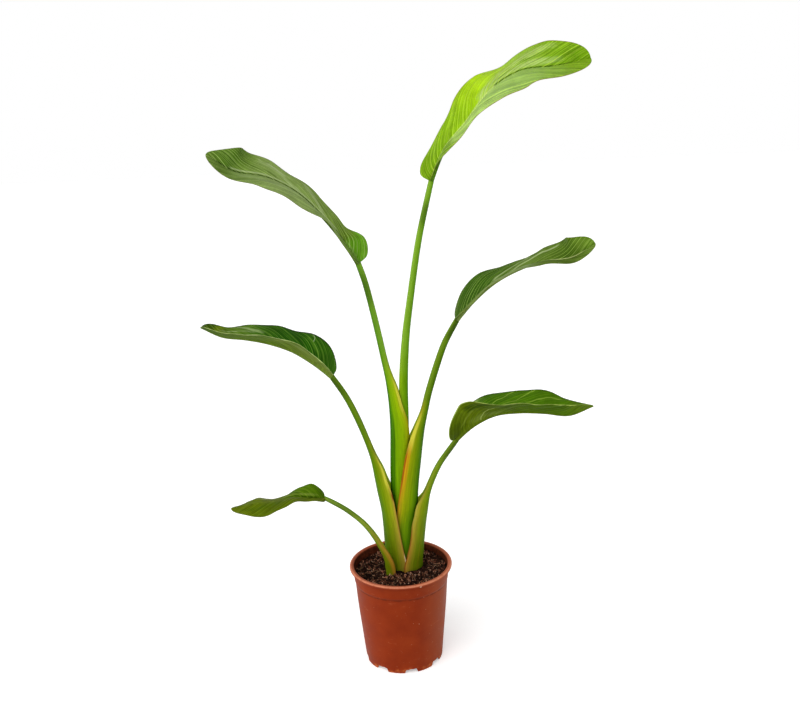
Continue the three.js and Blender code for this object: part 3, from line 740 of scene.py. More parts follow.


# %% Greens of the six stalks
# the dark strokes just below each blade are painted shade
STALK_LOOKS = {
    1: dict(
        base={0: (60, 118, 0), 0.5: (84, 136, 2), 1: (112, 152, 8)},
        sheath={0: (84, 140, 0), 0.5: (102, 152, 0), 1: (134, 170, 16)},
        free_stalk={0: (84, 138, 6), 0.5: (114, 164, 30), 1: (138, 180, 56)},
        base_top=300, sheath_top=520,
        marks=[(730, 764, 0.5, 0.5, 0.9, NECK_SHADE, 0.55)],
    ),
    2: dict(
        base={0: (40, 90, 0), 0.45: (58, 112, 0), 1: (92, 134, 2)},
        sheath={
            0: (46, 100, 0), 0.25: (58, 114, 0), 0.42: (112, 156, 0), 0.7: (142, 176, 2),
            0.92: (166, 176, 12), 1: (168, 146, 30),
        },
        free_stalk={0: (66, 112, 8), 0.5: (96, 146, 30), 1: (122, 166, 46)},
        base_top=250, sheath_top=500,
        marks=[
            (436, 484, LIP, LIP, 0.17, YELLOW_LIP, 0.85), (356, 374, 1, 1, 0.06, RED_NICK, 0.9),
            (612, 660, 0.4, 0.4, 0.9, NECK_SHADE, 0.6),
            (230, 420, 0.3, 0.34, 0.05, (34, 84, 0), 0.6),
        ],
    ),
    3: dict(
        base={0: (56, 104, 0), 0.4: (64, 120, 0), 0.8: (96, 136, 4), 1: (124, 120, 16)},
        sheath={
            0: (52, 98, 0), 0.3: (74, 124, 0), 0.55: (114, 146, 0), 0.8: (150, 156, 4),
            0.92: (186, 160, 20), 1: (166, 104, 20),
        },
        free_stalk={0: (58, 92, 0), 0.5: (88, 126, 6), 1: (114, 144, 32)},
        base_top=250, sheath_top=425,
        marks=[
            (304, 400, 0.9, 0.88, 0.12, ORANGE_GLOW, 0.65),
            (296, 396, 0.98, 0.95, 0.04, RED_EDGE, 0.85),
            (374, 424, LIP - 0.06, LIP - 0.04, 0.2, YELLOW_LIP, 0.85),
            (556, 584, 0.4, 0.4, 0.9, NECK_SHADE, 0.7),
        ],
    ),
    4: dict(
        base={
            0: (84, 112, 0), 0.4: (82, 116, 0), 0.75: (112, 124, 10), 0.95: (160, 140, 44),
            1: (168, 120, 52),
        },
        sheath={
            0: (62, 104, 0), 0.35: (86, 124, 0), 0.6: (110, 136, 0), 0.86: (150, 158, 20),
            0.96: (168, 150, 46), 1: (172, 124, 54),
        },
        free_stalk={0: (56, 92, 0), 0.5: (82, 118, 4), 1: (108, 136, 28)},
        base_top=235, sheath_top=365,
        marks=[
            (308, 354, LIP - 0.04, LIP, 0.14, YELLOW_LIP, 0.9),
            (285, 297, 1, 1, 0.08, RED_NICK, 0.9), (168, 186, 0.97, 0.99, 0.026, CREAM_PEEL, 1),
            (460, 500, 0.4, 0.4, 0.9, NECK_SHADE, 0.6), SOIL_LINE,
        ],
    ),
    5: dict(
        base={
            0: (98, 118, 4), 0.35: (88, 116, 0), 0.5: (112, 122, 10), 0.62: (104, 124, 6),
            0.78: (132, 132, 24), 0.93: (172, 132, 44), 1: (132, 76, 24),
        },
        sheath={
            0: (82, 122, 0), 0.4: (106, 136, 2), 0.68: (124, 140, 12), 0.9: (160, 146, 40),
            1: (134, 82, 24),
        },
        free_stalk={0: (68, 104, 0), 0.5: (102, 136, 12), 1: (128, 152, 36)},
        base_top=215, sheath_top=300,
        marks=[
            (236, 286, LIP, LIP, 0.12, (170, 166, 60), 0.7),
            (352, 400, 0.4, 0.4, 0.9, NECK_SHADE, 0.6), SOIL_LINE,
        ],
    ),
    6: dict(
        base={
            0: (96, 114, 4), 0.4: (108, 118, 8), 0.6: (158, 124, 28), 0.85: (176, 130, 34),
            1: (134, 84, 26),
        },
        sheath={0: (88, 120, 4), 0.45: (108, 132, 12), 0.8: (150, 136, 40), 1: (134, 92, 34)},
        free_stalk={0: (84, 118, 14), 0.5: (112, 146, 34), 1: (132, 158, 52)},
        base_top=218, sheath_top=236,
        marks=[(270, 300, 0.4, 0.4, 0.9, NECK_SHADE, 0.5), SOIL_LINE],
    ),
}
stalks = {}
for leaf in LEAVES:
    look = stalk_finish(leaf, **STALK_LOOKS[leaf.number])
    stalks[leaf.number] = make_stalk(leaf, look)

# %% [markdown]
# ## Blades
# A blade is a thin sheet in two halves that rise from a stout midrib. Fine side veins leave the
# rib towards the tip, and the sheet is lightly pleated along the stronger ones. The sheet is a
# grid: the first parameter runs along the rib, the second from margin to margin. For the pleats
# each point is given a vein number, the place on the rib where the vein through it starts, so
# that every line with one vein number is one vein.

# %% Blade shape
BLADE_ROWS = 261
BLADE_COLUMNS = 83
BLADE_THICK = 0.55
ARCH = 0.05
RIB_TIP_HALF = 1.2
RIB_TIP_DEEP = 1.0
TIP_HALF = 2.0
WAVE_COUNT = 4.5
PLEAT = 8.5
PLEAT_HIGH = 0.6
VEIN_CURL = 0.25
VEIN_SPREAD = 0.3
FOLD = 31
FOLD_HIGH = 0.8
CURL_AT, CURL_LONG = 0.085, 0.06
LOBE_AT = 0.045
WANDER, WANDER_CELL = 1.6, 22

BLADE_FORMS = {
    1: dict(lobe=(5, 0), late=(0, 0.1), lean=(0.5, 0.8, 1.7, 2.4)),
    2: dict(lobe=(5, 2), curl=(37, 0), lean=(0.8, 1.6, 2.3, 2.8)),
    3: dict(lobe=(3, 3), lean=(0.8, 1.5, 2.1, 2.3)),
    4: dict(lobe=(4, 4), lean=(0.5, 0.9, 1.5, 2.0)),
    5: dict(lobe=(3, 7), lean=(0.8, 1.3, 1.8, 2.2)),
    6: dict(lobe=(3, 2), lean=(0.4, 0.8, 1.2, 1.6)),
}


def half_width(leaf, t):
    """Width of a half blade: a rounded quarter out of the neck, then a blunt taper."""
    neck_half = leaf.top[1]
    before = np.clip(1 - t / leaf.widest, 0, None)
    beyond = np.clip((t - leaf.widest) / (1 - leaf.widest), 0, None)
    swell = neck_half + (leaf.half - neck_half) * (1 - before**leaf.base) ** (1 / leaf.base)
    taper = TIP_HALF + (leaf.half - TIP_HALF) * (1 - beyond**2) ** leaf.blunt
    return np.where(beyond > 0, taper, swell)


def blade_sheets(leaf, lobe, lean, curl=(0, 0), late=(0, 0)):
    """Upper and lower sheet of a blade with their patterns. A half turns about the rib by its
    angle, bows up between rib and margin, waves at the margin, and near its base bulges back in a
    lobe. lean slants the veins, curl is an extra turn near the base, in degrees, and late the
    share of the rib after which a half begins."""
    t = ((1 - np.cos(np.pi * np.linspace(0, 1, BLADE_ROWS))) / 2)[:, None]
    v = np.linspace(-1, 1, BLADE_COLUMNS)
    s = (np.sign(v) * abs(v) ** 1.3)[None]
    rib = between(leaf.rib, t[:, 0])
    run = heading(lambda u: between(leaf.rib, u), t[:, 0])
    across, up = leaf_axes(run, leaf.side)
    along = run_length(rib)[:, None]
    near = s < 0
    sign = np.where(near, -1.0, 1.0)
    share = abs(s)

    def either(pair):
        """The first of two numbers for the half behind the rib, the second for the one in front."""
        return np.where(near, pair[1], pair[0])

    def halves(*lists):
        """The same for two lists of numbers that change from base to tip."""
        return either([between(np.array(one)[:, None], t[:, 0]) for one in lists])

    angle = np.radians(halves(leaf.far, leaf.near))
    near_base = np.exp(-(((t - CURL_AT) / CURL_LONG) ** 2))
    angle = angle + np.radians(either(curl)) * near_base
    width = half_width(leaf, t) * halves(leaf.far_wide, leaf.near_wide)
    late = either(late)
    start = np.where(late > 0, smoothstep(t, late * 0.5, late * 1.7), 1.0)
    reach = leaf.top[1] * 0.9 + (width - leaf.top[1] * 0.9) * start
    reach = np.minimum(reach, width)
    back = either(lobe) * share**1.4 * (t / LOBE_AT) * np.exp(1 - t / LOBE_AT)

    out = sign[..., None] * (across[:, None] * np.cos(angle)[..., None])
    out = out + up[:, None] * np.sin(angle)[..., None]
    rise = up[:, None] * np.cos(angle)[..., None]
    rise = rise - (sign * np.sin(angle))[..., None] * across[:, None]

    d = share * reach
    vein = along - back - between(np.array(lean)[:, None], t[:, 0]) * d - VEIN_CURL * d * share
    vein = vein * (1 - VEIN_SPREAD * vein / along[-1])
    wander = WANDER * lumps(vein, d, WANDER_CELL, leaf.number)
    ridge = abs(np.sin(np.pi * (vein + wander) / PLEAT)) ** 0.8 - 0.6
    fold = FOLD_HIGH * share * np.sin(2 * np.pi * (vein + 3 * wander) / FOLD + leaf.number)
    fade = smoothstep(d, 2, 12) * (1 - smoothstep(share, 0.9, 1)) * smoothstep(t, 0.02, 0.1)
    swing = np.sin(2 * np.pi * WAVE_COUNT * t + sign) * np.sin(np.pi * t)
    lift = ARCH * reach * 4 * share * (1 - share) + leaf.wave * share**2 * swing
    lift = lift + (PLEAT_HIGH * ridge + fold) * fade

    rib_half = leaf.top[1] + (RIB_TIP_HALF - leaf.top[1]) * np.sqrt(t)
    rib_deep = leaf.top[3] + (RIB_TIP_DEEP - leaf.top[3]) * np.sqrt(t)
    groove = (0.25 + 0.9 * (1 - t) ** 2) * np.exp(-((d / (0.45 * rib_half + 0.5)) ** 2))
    upper = rib[:, None] + out * d[..., None] + rise * (lift - groove)[..., None]
    upper = upper - run[:, None] * back[..., None]
    rib_share = np.minimum(0.5, rib_half / reach)
    rounded = np.sqrt(np.clip(1 - (share / rib_share) ** 2, 0, None))
    sheet = BLADE_THICK * np.sqrt(1 - 0.9 * share**10)
    deep = (sheet**3 + np.clip(rib_deep * rounded - groove, 0, None) ** 3) ** (1 / 3)
    upright = np.minimum(1, rounded + 1.6 / width)[..., None]
    down = unit(rise + (up[:, None] - rise) * upright)
    lower = upper - down * deep[..., None]

    veins = np.stack([vein + wander, d * sign], axis=-1) * MM
    place = np.stack(np.broadcast_arrays(t, s), axis=-1)
    flat = np.zeros_like(place)
    flat[..., 1] = rounded
    turned_over = flat.copy()
    turned_over[..., 0] = 1
    maps = {"veins": (veins, veins), "place": (place, place), "sheet": (flat, turned_over)}
    return upper * MM, lower * MM, maps


lengths = [run_length(between(leaf.rib, np.linspace(0, 1, 200)))[-1] for leaf in LEAVES]
print("rib lengths in mm:", [round(length) for length in lengths])

# %% [markdown]
# ## The finish of a blade
# The upper face is green with a soft sheen, which is painted into its colour, and dries to a thin
# tan line at the margin. The veins read as fine pale and dark stripes, closer together than the
# pleats. The under face is duller and darker, partly its own colour and partly painted shade, with
# a stout keel. Everything follows the vein number and the distance from the rib, which came with
# the grid, so the stripes bend with the leaf. Each blade has its own greens, because a young leaf
# is yellower, and each half has its own painted sheen. What is particular to a blade, such as a
# band of painted sheen, the painted shadow in the crease along the rib or a scratch, is a brush
# stroke in the blade's own two numbers.


# %% Blade finish
HALF_GAPS = (PLEAT / 2 * MM, 0.0009, 0.0019)


def blade_finish(leaf, far, near, under, keel, vein_pale, stripes, edge, far_edge=None,
                 edge_from=0.965, marks=(), under_marks=(), glow=0.0):
    """far, near and under are colours from base to tip, by t. stripes says how much the veins show,
    and edge_from is the share where the dry margin begins."""
    finish = Finish(f"blade_green_{leaf.number}", Specular_IOR_Level=0.03, Subsurface_Weight=glow,
                    Subsurface_Scale=0.004, Subsurface_Radius=(0.6, 1.0, 0.2))
    vein, d = finish.map_parts("veins")
    t, s = finish.map_parts("place")
    under_side, rib_near = finish.map_parts("sheet")
    share = finish.maths("ABSOLUTE", s)
    is_far = finish.maths("GREATER_THAN", s, 0.0)
    spot = finish.place()
    drift = finish.span(finish.noise(spot, 24, 3), 0.25, 0.75, -0.035, 0.035)
    where = finish.maths("ADD", t, drift, clamp=True)
    fibre = finish.drawn_out(vein, d, 330, 12, 4, 0.6)
    uneven = finish.span(fibre, 0.3, 0.7, 0.35, 1.0)
    coarse = finish.drawn_out(vein, d, 190, 9, 3, 0.6)
    patchy = finish.span(coarse, 0.36, 0.62, 0.2, 1.25)

    # how near the next strong, thin and middling vein is: a ping-pong of the vein number
    lines, thin, mid = (finish.maths("PINGPONG", vein, half) for half in HALF_GAPS)
    strong, thin = (finish.span(near_vein, 0.0, 0.0009, 1.0, 0.0) for near_vein in (lines, thin))
    mid = finish.span(mid, 0.0, 0.0013, 1.0, 0.0)
    pale = finish.times(finish.maths("MAXIMUM", strong, finish.times(mid, 0.4)), uneven)
    not_thin = finish.maths("SUBTRACT", 1.0, thin)
    dark = finish.times(finish.span(lines, 0.0012, 0.0042, 0.0, 1.0), not_thin)

    # the ramps and strokes of a blade hold painted sheen and painted shade besides its own greens
    colour = finish.blend(is_far, finish.ramp(where, near), finish.ramp(where, far))
    colour = finish.strokes(colour, where, s, marks, patchy)
    colour = finish.blend(finish.times(pale, stripes), colour, vein_pale)
    # the under face: its own duller green, darkened in part by painted shade
    below = finish.strokes(finish.ramp(where, under), where, s, under_marks, patchy)
    below = finish.blend(finish.times(pale, 0.35 * stripes), below, vein_pale)
    below = finish.blend(finish.span(rib_near, 0.0, 0.6), below, keel)
    colour = finish.blend(under_side, colour, below)
    colour = finish.shade(colour, finish.times(dark, uneven), 0, 1, 1, 1 - 0.4 * stripes)
    colour = finish.shade(colour, fibre, 0.3, 0.7, 1 - 0.4 * stripes, 1 + 0.32 * stripes)
    margin = finish.times(finish.span(share, edge_from, edge_from + 0.025), 0.85)
    colour = finish.blend(margin, colour, finish.blend(is_far, edge, far_edge or edge))
    colour = finish.shade(colour, finish.noise(spot, 55, 4, 0.6), 0.3, 0.7, 0.88, 1.1)

    height = finish.maths("MULTIPLY_ADD", thin, 0.35, finish.times(mid, -0.5))
    normal = finish.bump(height, 0.00025, 0.7)
    normal = finish.bump(finish.noise(spot, 700, 2), 0.00008, 0.5, under=normal)
    gloss = finish.span(finish.noise(spot, 30, 3), 0.3, 0.7, 0.4, 0.56)
    return finish.wear(Base_Color=colour, Normal=normal, Roughness=gloss)


# %% Greens of the six blades
# painted shadow for the groove along the rib; painted sheen for pale bands of reflected light
CREASE_SHADOW = (46, 72, 10)
PAINTED_SHEEN = (178, 196, 138)

BLADE_LOOKS = {
    1: dict(
        far={
            0: (102, 144, 2), 0.12: (116, 162, 4), 0.3: (138, 184, 8), 0.5: (162, 204, 12),
            # painted sheen: the paler greens about 0.6 to 0.7
            0.6: (160, 198, 54), 0.7: (142, 182, 60), 0.8: (122, 166, 20), 1: (110, 156, 4),
        },
        near={
            # the near half's pale grey-green from 0.24 to 0.75 is painted sheen
            0: (96, 136, 26), 0.18: (112, 150, 40), 0.24: (160, 194, 98), 0.5: (158, 192, 104),
            0.75: (142, 180, 84), 0.9: (120, 160, 30), 1: (112, 156, 18),
        },
        under={0: (84, 128, 18), 1: (112, 154, 36)},
        keel=(84, 126, 26), vein_pale=(190, 216, 76), stripes=0.8, edge=(132, 104, 32), glow=0.1,
        marks=[
            (0.02, 0.62, 0.0, 0.02, 0.04, (194, 214, 124), 0.85),
            # painted light: sheen beside the rib, shadow in the crease, shade in a fan of folds,
            # sheen further out
            (0.46, 0.86, 0.12, 0.24, 0.16, (178, 204, 122), 0.75),
            (0.53, 0.92, 0.03, 0.0, 0.05, (58, 94, 8), 0.9),
            (0.56, 0.8, 0.14, 0.6, 0.05, (84, 128, 4), 0.6),
            (0.56, 0.84, 0.3, 0.8, 0.16, (182, 206, 120), 0.7),
            (0.8, 1.0, 0.5, 0.3, 0.5, (100, 148, 0), 0.5),
        ],
    ),
    2: dict(
        far={
            # the pale grey-green from 0.24 to 0.65 is painted sheen
            0: (96, 162, 0), 0.11: (94, 158, 0), 0.15: (96, 130, 18), 0.24: (114, 144, 46),
            0.45: (134, 162, 78), 0.65: (138, 164, 84), 0.78: (102, 136, 42), 0.88: (74, 114, 16),
            1: (92, 126, 30),
        },
        near={
            # the near half's pale grey-green from 0.25 to 0.75 is painted sheen
            0: (78, 118, 20), 0.15: (102, 134, 42), 0.25: (134, 160, 84), 0.55: (144, 168, 94),
            0.75: (126, 154, 76), 0.9: (90, 122, 34), 1: (98, 130, 42),
        },
        under={0: (76, 114, 14), 1: (86, 124, 26)},
        keel=(72, 102, 20), vein_pale=(172, 194, 112), stripes=0.95, edge=(120, 122, 50),
        marks=[
            (0.14, 0.6, 0.94, 0.94, 0.14, (98, 122, 16), 0.6),
            # painted sheen fanning out from the rib
            (0.3, 0.5, 0.1, 0.75, 0.14, PAINTED_SHEEN, 0.7), (0.46, 0.72, 0.08, 0.7, 0.12, PAINTED_SHEEN, 0.7),
            (0.25, 0.42, 0.3, 0.85, 0.07, (76, 110, 8), 0.55),
            (0.6, 0.84, 0.1, 0.55, 0.05, (70, 104, 14), 0.6),
            # painted highlight on the lit side of the groove along the rib, then painted shadow in
            # it
            (0.2, 0.85, 0.1, 0.08, 0.04, (178, 196, 138), 0.75),
            (0.14, 0.97, 0.02, 0.0, 0.05, CREASE_SHADOW, 0.95),
            # painted sheen on the near half
            (0.2, 0.6, -0.3, -0.2, 0.16, (160, 182, 120), 0.6),
            (0.5, 0.8, -0.5, -0.4, 0.2, (156, 178, 116), 0.5),
            (0.0, 0.12, 0.03, 0.1, 0.05, (150, 190, 86), 0.8),
        ],
    ),
    3: dict(
        far={
            # the pale band about 0.58 is painted sheen
            0: (48, 84, 0), 0.15: (40, 82, 0), 0.32: (46, 88, 0), 0.42: (68, 102, 8),
            0.58: (98, 124, 48), 0.7: (80, 110, 22), 0.8: (62, 94, 4), 1: (94, 130, 26),
        },
        near={
            # the near half's pale grey-green about 0.4 to 0.58 is painted sheen
            0: (78, 104, 22), 0.2: (100, 124, 50), 0.4: (126, 146, 86), 0.58: (124, 146, 86),
            0.7: (84, 108, 28), 0.85: (74, 100, 22), 1: (98, 126, 42),
        },
        under={0: (60, 90, 4), 1: (74, 108, 14)},
        keel=(120, 142, 68), vein_pale=(162, 188, 92), stripes=0.8, edge=(110, 116, 34),
        marks=[
            # painted sheen fanning out from the rib
            (0.36, 0.58, 0.14, 0.76, 0.1, PAINTED_SHEEN, 0.75), (0.46, 0.74, 0.06, 0.8, 0.07, PAINTED_SHEEN, 0.7),
            (0.3, 0.46, 0.2, 0.85, 0.07, (44, 82, 0), 0.7),
            # painted shade in fine diagonal strokes near the base
            (0.1, 0.24, 0.35, 0.7, 0.08, (40, 80, 0), 0.6),
            (0.6, 0.94, 0.0, 0.0, 0.05, (196, 208, 134), 0.9),
            (0.64, 0.93, -0.18, -0.3, 0.12, (54, 76, 6), 0.85),
            (0.9, 1.0, 0.5, 0.5, 0.5, (116, 148, 44), 0.5),
        ],
    ),
    4: dict(
        far={
            0: (46, 98, 0), 0.2: (34, 92, 0), 0.45: (26, 82, 0), 0.56: (48, 94, 4),
            0.68: (78, 112, 30), 0.84: (82, 110, 22), 0.9: (112, 132, 4), 0.955: (62, 88, 2),
            1: (50, 76, 0),
        },
        near={0: (84, 108, 14), 0.6: (76, 104, 14), 1: (58, 90, 6)},
        under={
            0: (108, 126, 46), 0.3: (100, 122, 36), 0.5: (86, 114, 16), 0.8: (80, 108, 8),
            1: (58, 86, 4),
        },
        keel=(104, 126, 44), vein_pale=(138, 172, 70), stripes=0.65, edge=(190, 210, 124),
        far_edge=(34, 60, 4), edge_from=0.93,
        marks=[
            (0.56, 0.8, 0.5, 0.85, 0.12, (152, 174, 112), 0.65),
            (0.62, 0.88, 0.45, 0.5, 0.07, (156, 176, 118), 0.6),
            (0.2, 0.55, 0.97, 0.97, 0.07, (28, 66, 0), 0.7),
            (0.14, 0.3, 0.4, 0.75, 0.08, (76, 124, 26), 0.7),
            (0.3, 0.46, 0.45, 0.8, 0.06, (24, 70, 0), 0.6),
            (0.245, 0.275, 0.7, 0.95, 0.03, (190, 206, 160), 0.9),
        ],
        under_marks=[
            (0.1, 0.45, -0.5, -0.6, 0.14, (126, 138, 60), 0.5),
            (0.15, 0.6, -0.82, -0.82, 0.06, (62, 90, 2), 0.6),
            (0.04, 0.86, -0.97, -0.97, 0.05, (184, 204, 122), 0.9),
            (0.3, 0.7, -0.3, -0.35, 0.08, (112, 136, 40), 0.5),
        ],
    ),
    5: dict(
        far={
            # painted highlight: the pale gloss at 0.2
            0: (54, 92, 0), 0.2: (96, 132, 40), 0.28: (58, 104, 0), 0.5: (70, 114, 0),
            0.8: (66, 108, 0), 1: (84, 112, 8),
        },
        near={0: (74, 100, 2), 1: (72, 104, 2)},
        under={
            0: (66, 84, 2), 0.1: (78, 98, 0), 0.2: (94, 114, 4), 0.3: (82, 102, 0),
            0.5: (72, 100, 0), 0.8: (72, 106, 0), 1: (92, 120, 14),
        },
        keel=(88, 108, 14), vein_pale=(134, 164, 50), stripes=0.55, edge=(168, 190, 88),
        far_edge=(62, 88, 8), edge_from=0.935,
        marks=[
            # painted highlight near the base of the far half
            (0.16, 0.24, 0.7, 0.95, 0.12, (146, 172, 96), 0.7),
            (0.32, 0.46, 0.45, 0.98, 0.035, (146, 176, 66), 0.85),
            (0.42, 0.6, 0.4, 0.98, 0.035, (140, 172, 60), 0.75),
            (0.54, 0.74, 0.4, 0.85, 0.035, (140, 172, 60), 0.65),
            (0.66, 0.92, 0.36, 0.6, 0.06, (128, 162, 50), 0.7),
        ],
        under_marks=[
            # painted shadow below the pale line across the under face
            (0.2, 0.44, -0.66, -0.62, 0.26, (50, 74, 0), 0.75),
            (0.18, 0.4, -0.14, -0.12, 0.14, (124, 142, 64), 0.45),
            (0.24, 0.38, 0.0, -0.5, 0.028, (166, 182, 96), 0.85),
            (0.1, 0.26, -0.3, -0.5, 0.05, (124, 142, 44), 0.6),
            (0.29, 0.95, -0.97, -0.97, 0.05, (156, 180, 84), 0.9),
            # painted shade where the blade meets the stalk
            (0.02, 0.14, -0.3, -0.4, 0.35, (48, 62, 0), 0.5),
        ],
    ),
    6: dict(
        far={
            0: (62, 94, 0), 0.1: (74, 110, 0), 0.3: (76, 110, 0), 0.42: (82, 108, 2),
            0.5: (100, 114, 30), 0.62: (104, 116, 34), 0.76: (94, 112, 10), 1: (94, 110, 2),
        },
        near={
            0: (84, 98, 10), 0.3: (88, 104, 4), 0.5: (80, 98, 0), 0.8: (86, 104, 0),
            1: (102, 116, 14),
        },
        under={0: (68, 92, 2), 1: (76, 104, 6)},
        keel=(74, 94, 12), vein_pale=(128, 148, 44), stripes=0.5, edge=(116, 116, 44),
        marks=[
            (0.08, 0.44, 0.2, 0.3, 0.12, (132, 150, 60), 0.6),
            (0.06, 0.7, 0.03, 0.2, 0.05, (44, 66, 0), 0.85),
            (0.56, 0.78, 0.4, 0.78, 0.09, (178, 188, 112), 0.8),
            (0.5, 0.9, -0.3, -0.5, 0.2, (64, 92, 0), 0.5),
        ],
    ),
}

blades = {}
for leaf in LEAVES:
    upper, lower, maps = blade_sheets(leaf, **BLADE_FORMS[leaf.number])
    look = blade_finish(leaf, **BLADE_LOOKS[leaf.number])
    blades[leaf.number] = make_shell(f"blade_{leaf.number}", upper, lower, look, maps)

# %% [markdown]
# ## The nursery pot
# The pot is moulded in one piece: a rolled rim, a collar with a small step under it, a wall that
# bows a little, a raised base with drain holes, and feet with notches between them. A closed
# profile of outside and inside is carried round the axis. Its corners are rounded first, as a mould
# rounds them, and the lower edge of the foot is lifted where there is a notch. The drain holes are
# cut afterwards with a boolean modifier, which is the plain way to pierce a plate.

# %% Pot measures
POT_HEIGHT = 170
WALL = 1.6
BASE_LIFT = 8
BASE_THICK = 1.8
FOOT_RADIUS = 64.4
BELLY_HEIGHT, BELLY_RADIUS = 100, 73.9
STEP_HEIGHT, STEP_RISE, STEP_BELOW, STEP_ABOVE = 142, 3, 76.6, 77.8
COLLAR_TOP_RADIUS = 79.2
RIM_RADIUS = 85
RIM_HEIGHT = 5.4
FEET = 8
NOTCH_WIDTH = np.radians(17)
NOTCH_HEIGHT = 6.5
NOTCH_FIRST = np.radians(9.5 - 90)
DRAIN_RADIUS, DRAIN_RING, DRAIN_COUNT, DRAIN_CENTRE = 4.5, 44, 8, 6
OUT_OF_ROUND = 0.12


def wall_radius(height):
    """Outside radius of the wall, on straight runs from foot to belly, step and collar."""
    heights = [0, BELLY_HEIGHT, STEP_HEIGHT, STEP_HEIGHT + STEP_RISE, POT_HEIGHT - RIM_HEIGHT]
    radii = [FOOT_RADIUS, BELLY_RADIUS, STEP_BELOW, STEP_ABOVE, COLLAR_TOP_RADIUS]
    return np.interp(height, heights, radii)


print("wall at half height:", round(float(wall_radius(85)), 1), "mm from the axis")

# %% Pot profile
POT_COLUMNS = 392
CORNER_STEPS = np.linspace(0, 1, 5)
RUN_STEPS = 6


def rounded_loop(corners, radii):
    """A closed outline with each corner replaced by a small quadratic curve that starts and ends
    its radius away along the two sides, or half a side where that is shorter."""
    corners, radii = np.array(corners, float), np.array(radii, float)[:, None]
    to_last, to_next = np.roll(corners, 1, 0) - corners, np.roll(corners, -1, 0) - corners
    reach = lambda side: np.minimum(radii / np.linalg.norm(side, axis=1, keepdims=True), 0.5) * side
    a, c = corners + reach(to_last), corners + reach(to_next)
    f = CORNER_STEPS[:, None]
    curves = a[:, None] * (1 - f) ** 2 + corners[:, None] * 2 * f * (1 - f) + c[:, None] * f**2
    runs = np.linspace(0, 1, RUN_STEPS + 1)[1:-1, None]
    filled = c[:, None] * (1 - runs) + np.roll(a, -1, 0)[:, None] * runs
    return np.concatenate([curves, filled], axis=1).reshape(-1, 2)


step_top = STEP_HEIGHT + STEP_RISE
rim_bottom = POT_HEIGHT - RIM_HEIGHT
floor_top = BASE_LIFT + BASE_THICK
inside = lambda z: float(wall_radius(z)) - WALL
# radius, height and rounding of each corner: out under the base, up the outside, down the inside
POT_CORNERS = [
    (DRAIN_CENTRE, BASE_LIFT, 0.3), (30, BASE_LIFT, 0.3), (FOOT_RADIUS - 2.2, BASE_LIFT, 0.4),
    (FOOT_RADIUS - 2.4, 0, 0.5), (FOOT_RADIUS, 0, 0.6),
    (float(wall_radius(BASE_LIFT)), BASE_LIFT, 2), (float(wall_radius(50)), 50, 20),
    (BELLY_RADIUS, BELLY_HEIGHT, 20), (STEP_BELOW, STEP_HEIGHT, 1.0), (STEP_ABOVE, step_top, 1.2),
    (COLLAR_TOP_RADIUS, rim_bottom, 0.8), (RIM_RADIUS - 2, rim_bottom, 0.8),
    (RIM_RADIUS - 0.5, rim_bottom + 0.8, 0.8), (RIM_RADIUS, POT_HEIGHT - 2.8, 1.2),
    (RIM_RADIUS - 0.4, POT_HEIGHT - 1.4, 0.8), (RIM_RADIUS - 2, POT_HEIGHT - 0.2, 1.0),
    (COLLAR_TOP_RADIUS + 0.4, POT_HEIGHT, 1.0),
    (COLLAR_TOP_RADIUS - WALL + 0.4, POT_HEIGHT - 1.2, 0.6), (inside(rim_bottom), rim_bottom, 1.5),
    (inside(step_top), step_top, 1.0), (inside(STEP_HEIGHT), STEP_HEIGHT, 1.0),
    (inside(BELLY_HEIGHT), BELLY_HEIGHT, 15), (inside(floor_top), floor_top, 1.0),
    (30, floor_top, 0.3), (DRAIN_CENTRE, floor_top, 0.3),
]
pot_outline = rounded_loop([c[:2] for c in POT_CORNERS], [c[2] for c in POT_CORNERS])
print("pot outline:", len(pot_outline), "points, top at", pot_outline[:, 1].max(), "mm")

# %% [markdown]
# ## The finish of the pot
# Moulded terracotta plastic has a satin gloss. It is a deep red-brown with a faint mottle, paler
# where the feet have been rubbed. Over it lie a painted highlight along the outer curve of the
# rolled lip, painted sheen towards the left and right sides, and painted shade on the inside of
# the collar, in a band under the rim and in the corner under the step. It carries a few pale
# scuffs, specks of dust, and one chip in the lip with a dark nick beside it. The zones follow
# height, the distance from the axis and the side, the scuffs are noise that is drawn out upwards,
# and the chip is a spot round one point.

# %% Pot finish and pot
# the middle of the collar's wall is at radius MID_WALL + INNER_SLOPE * height
INNER_SLOPE = (COLLAR_TOP_RADIUS - STEP_ABOVE) / (rim_bottom - step_top)
MID_WALL = STEP_ABOVE - WALL / 2 - INNER_SLOPE * step_top
CHIP = (31, -78.8, 165.8)
NICK = (38, -75.6, 164.6)


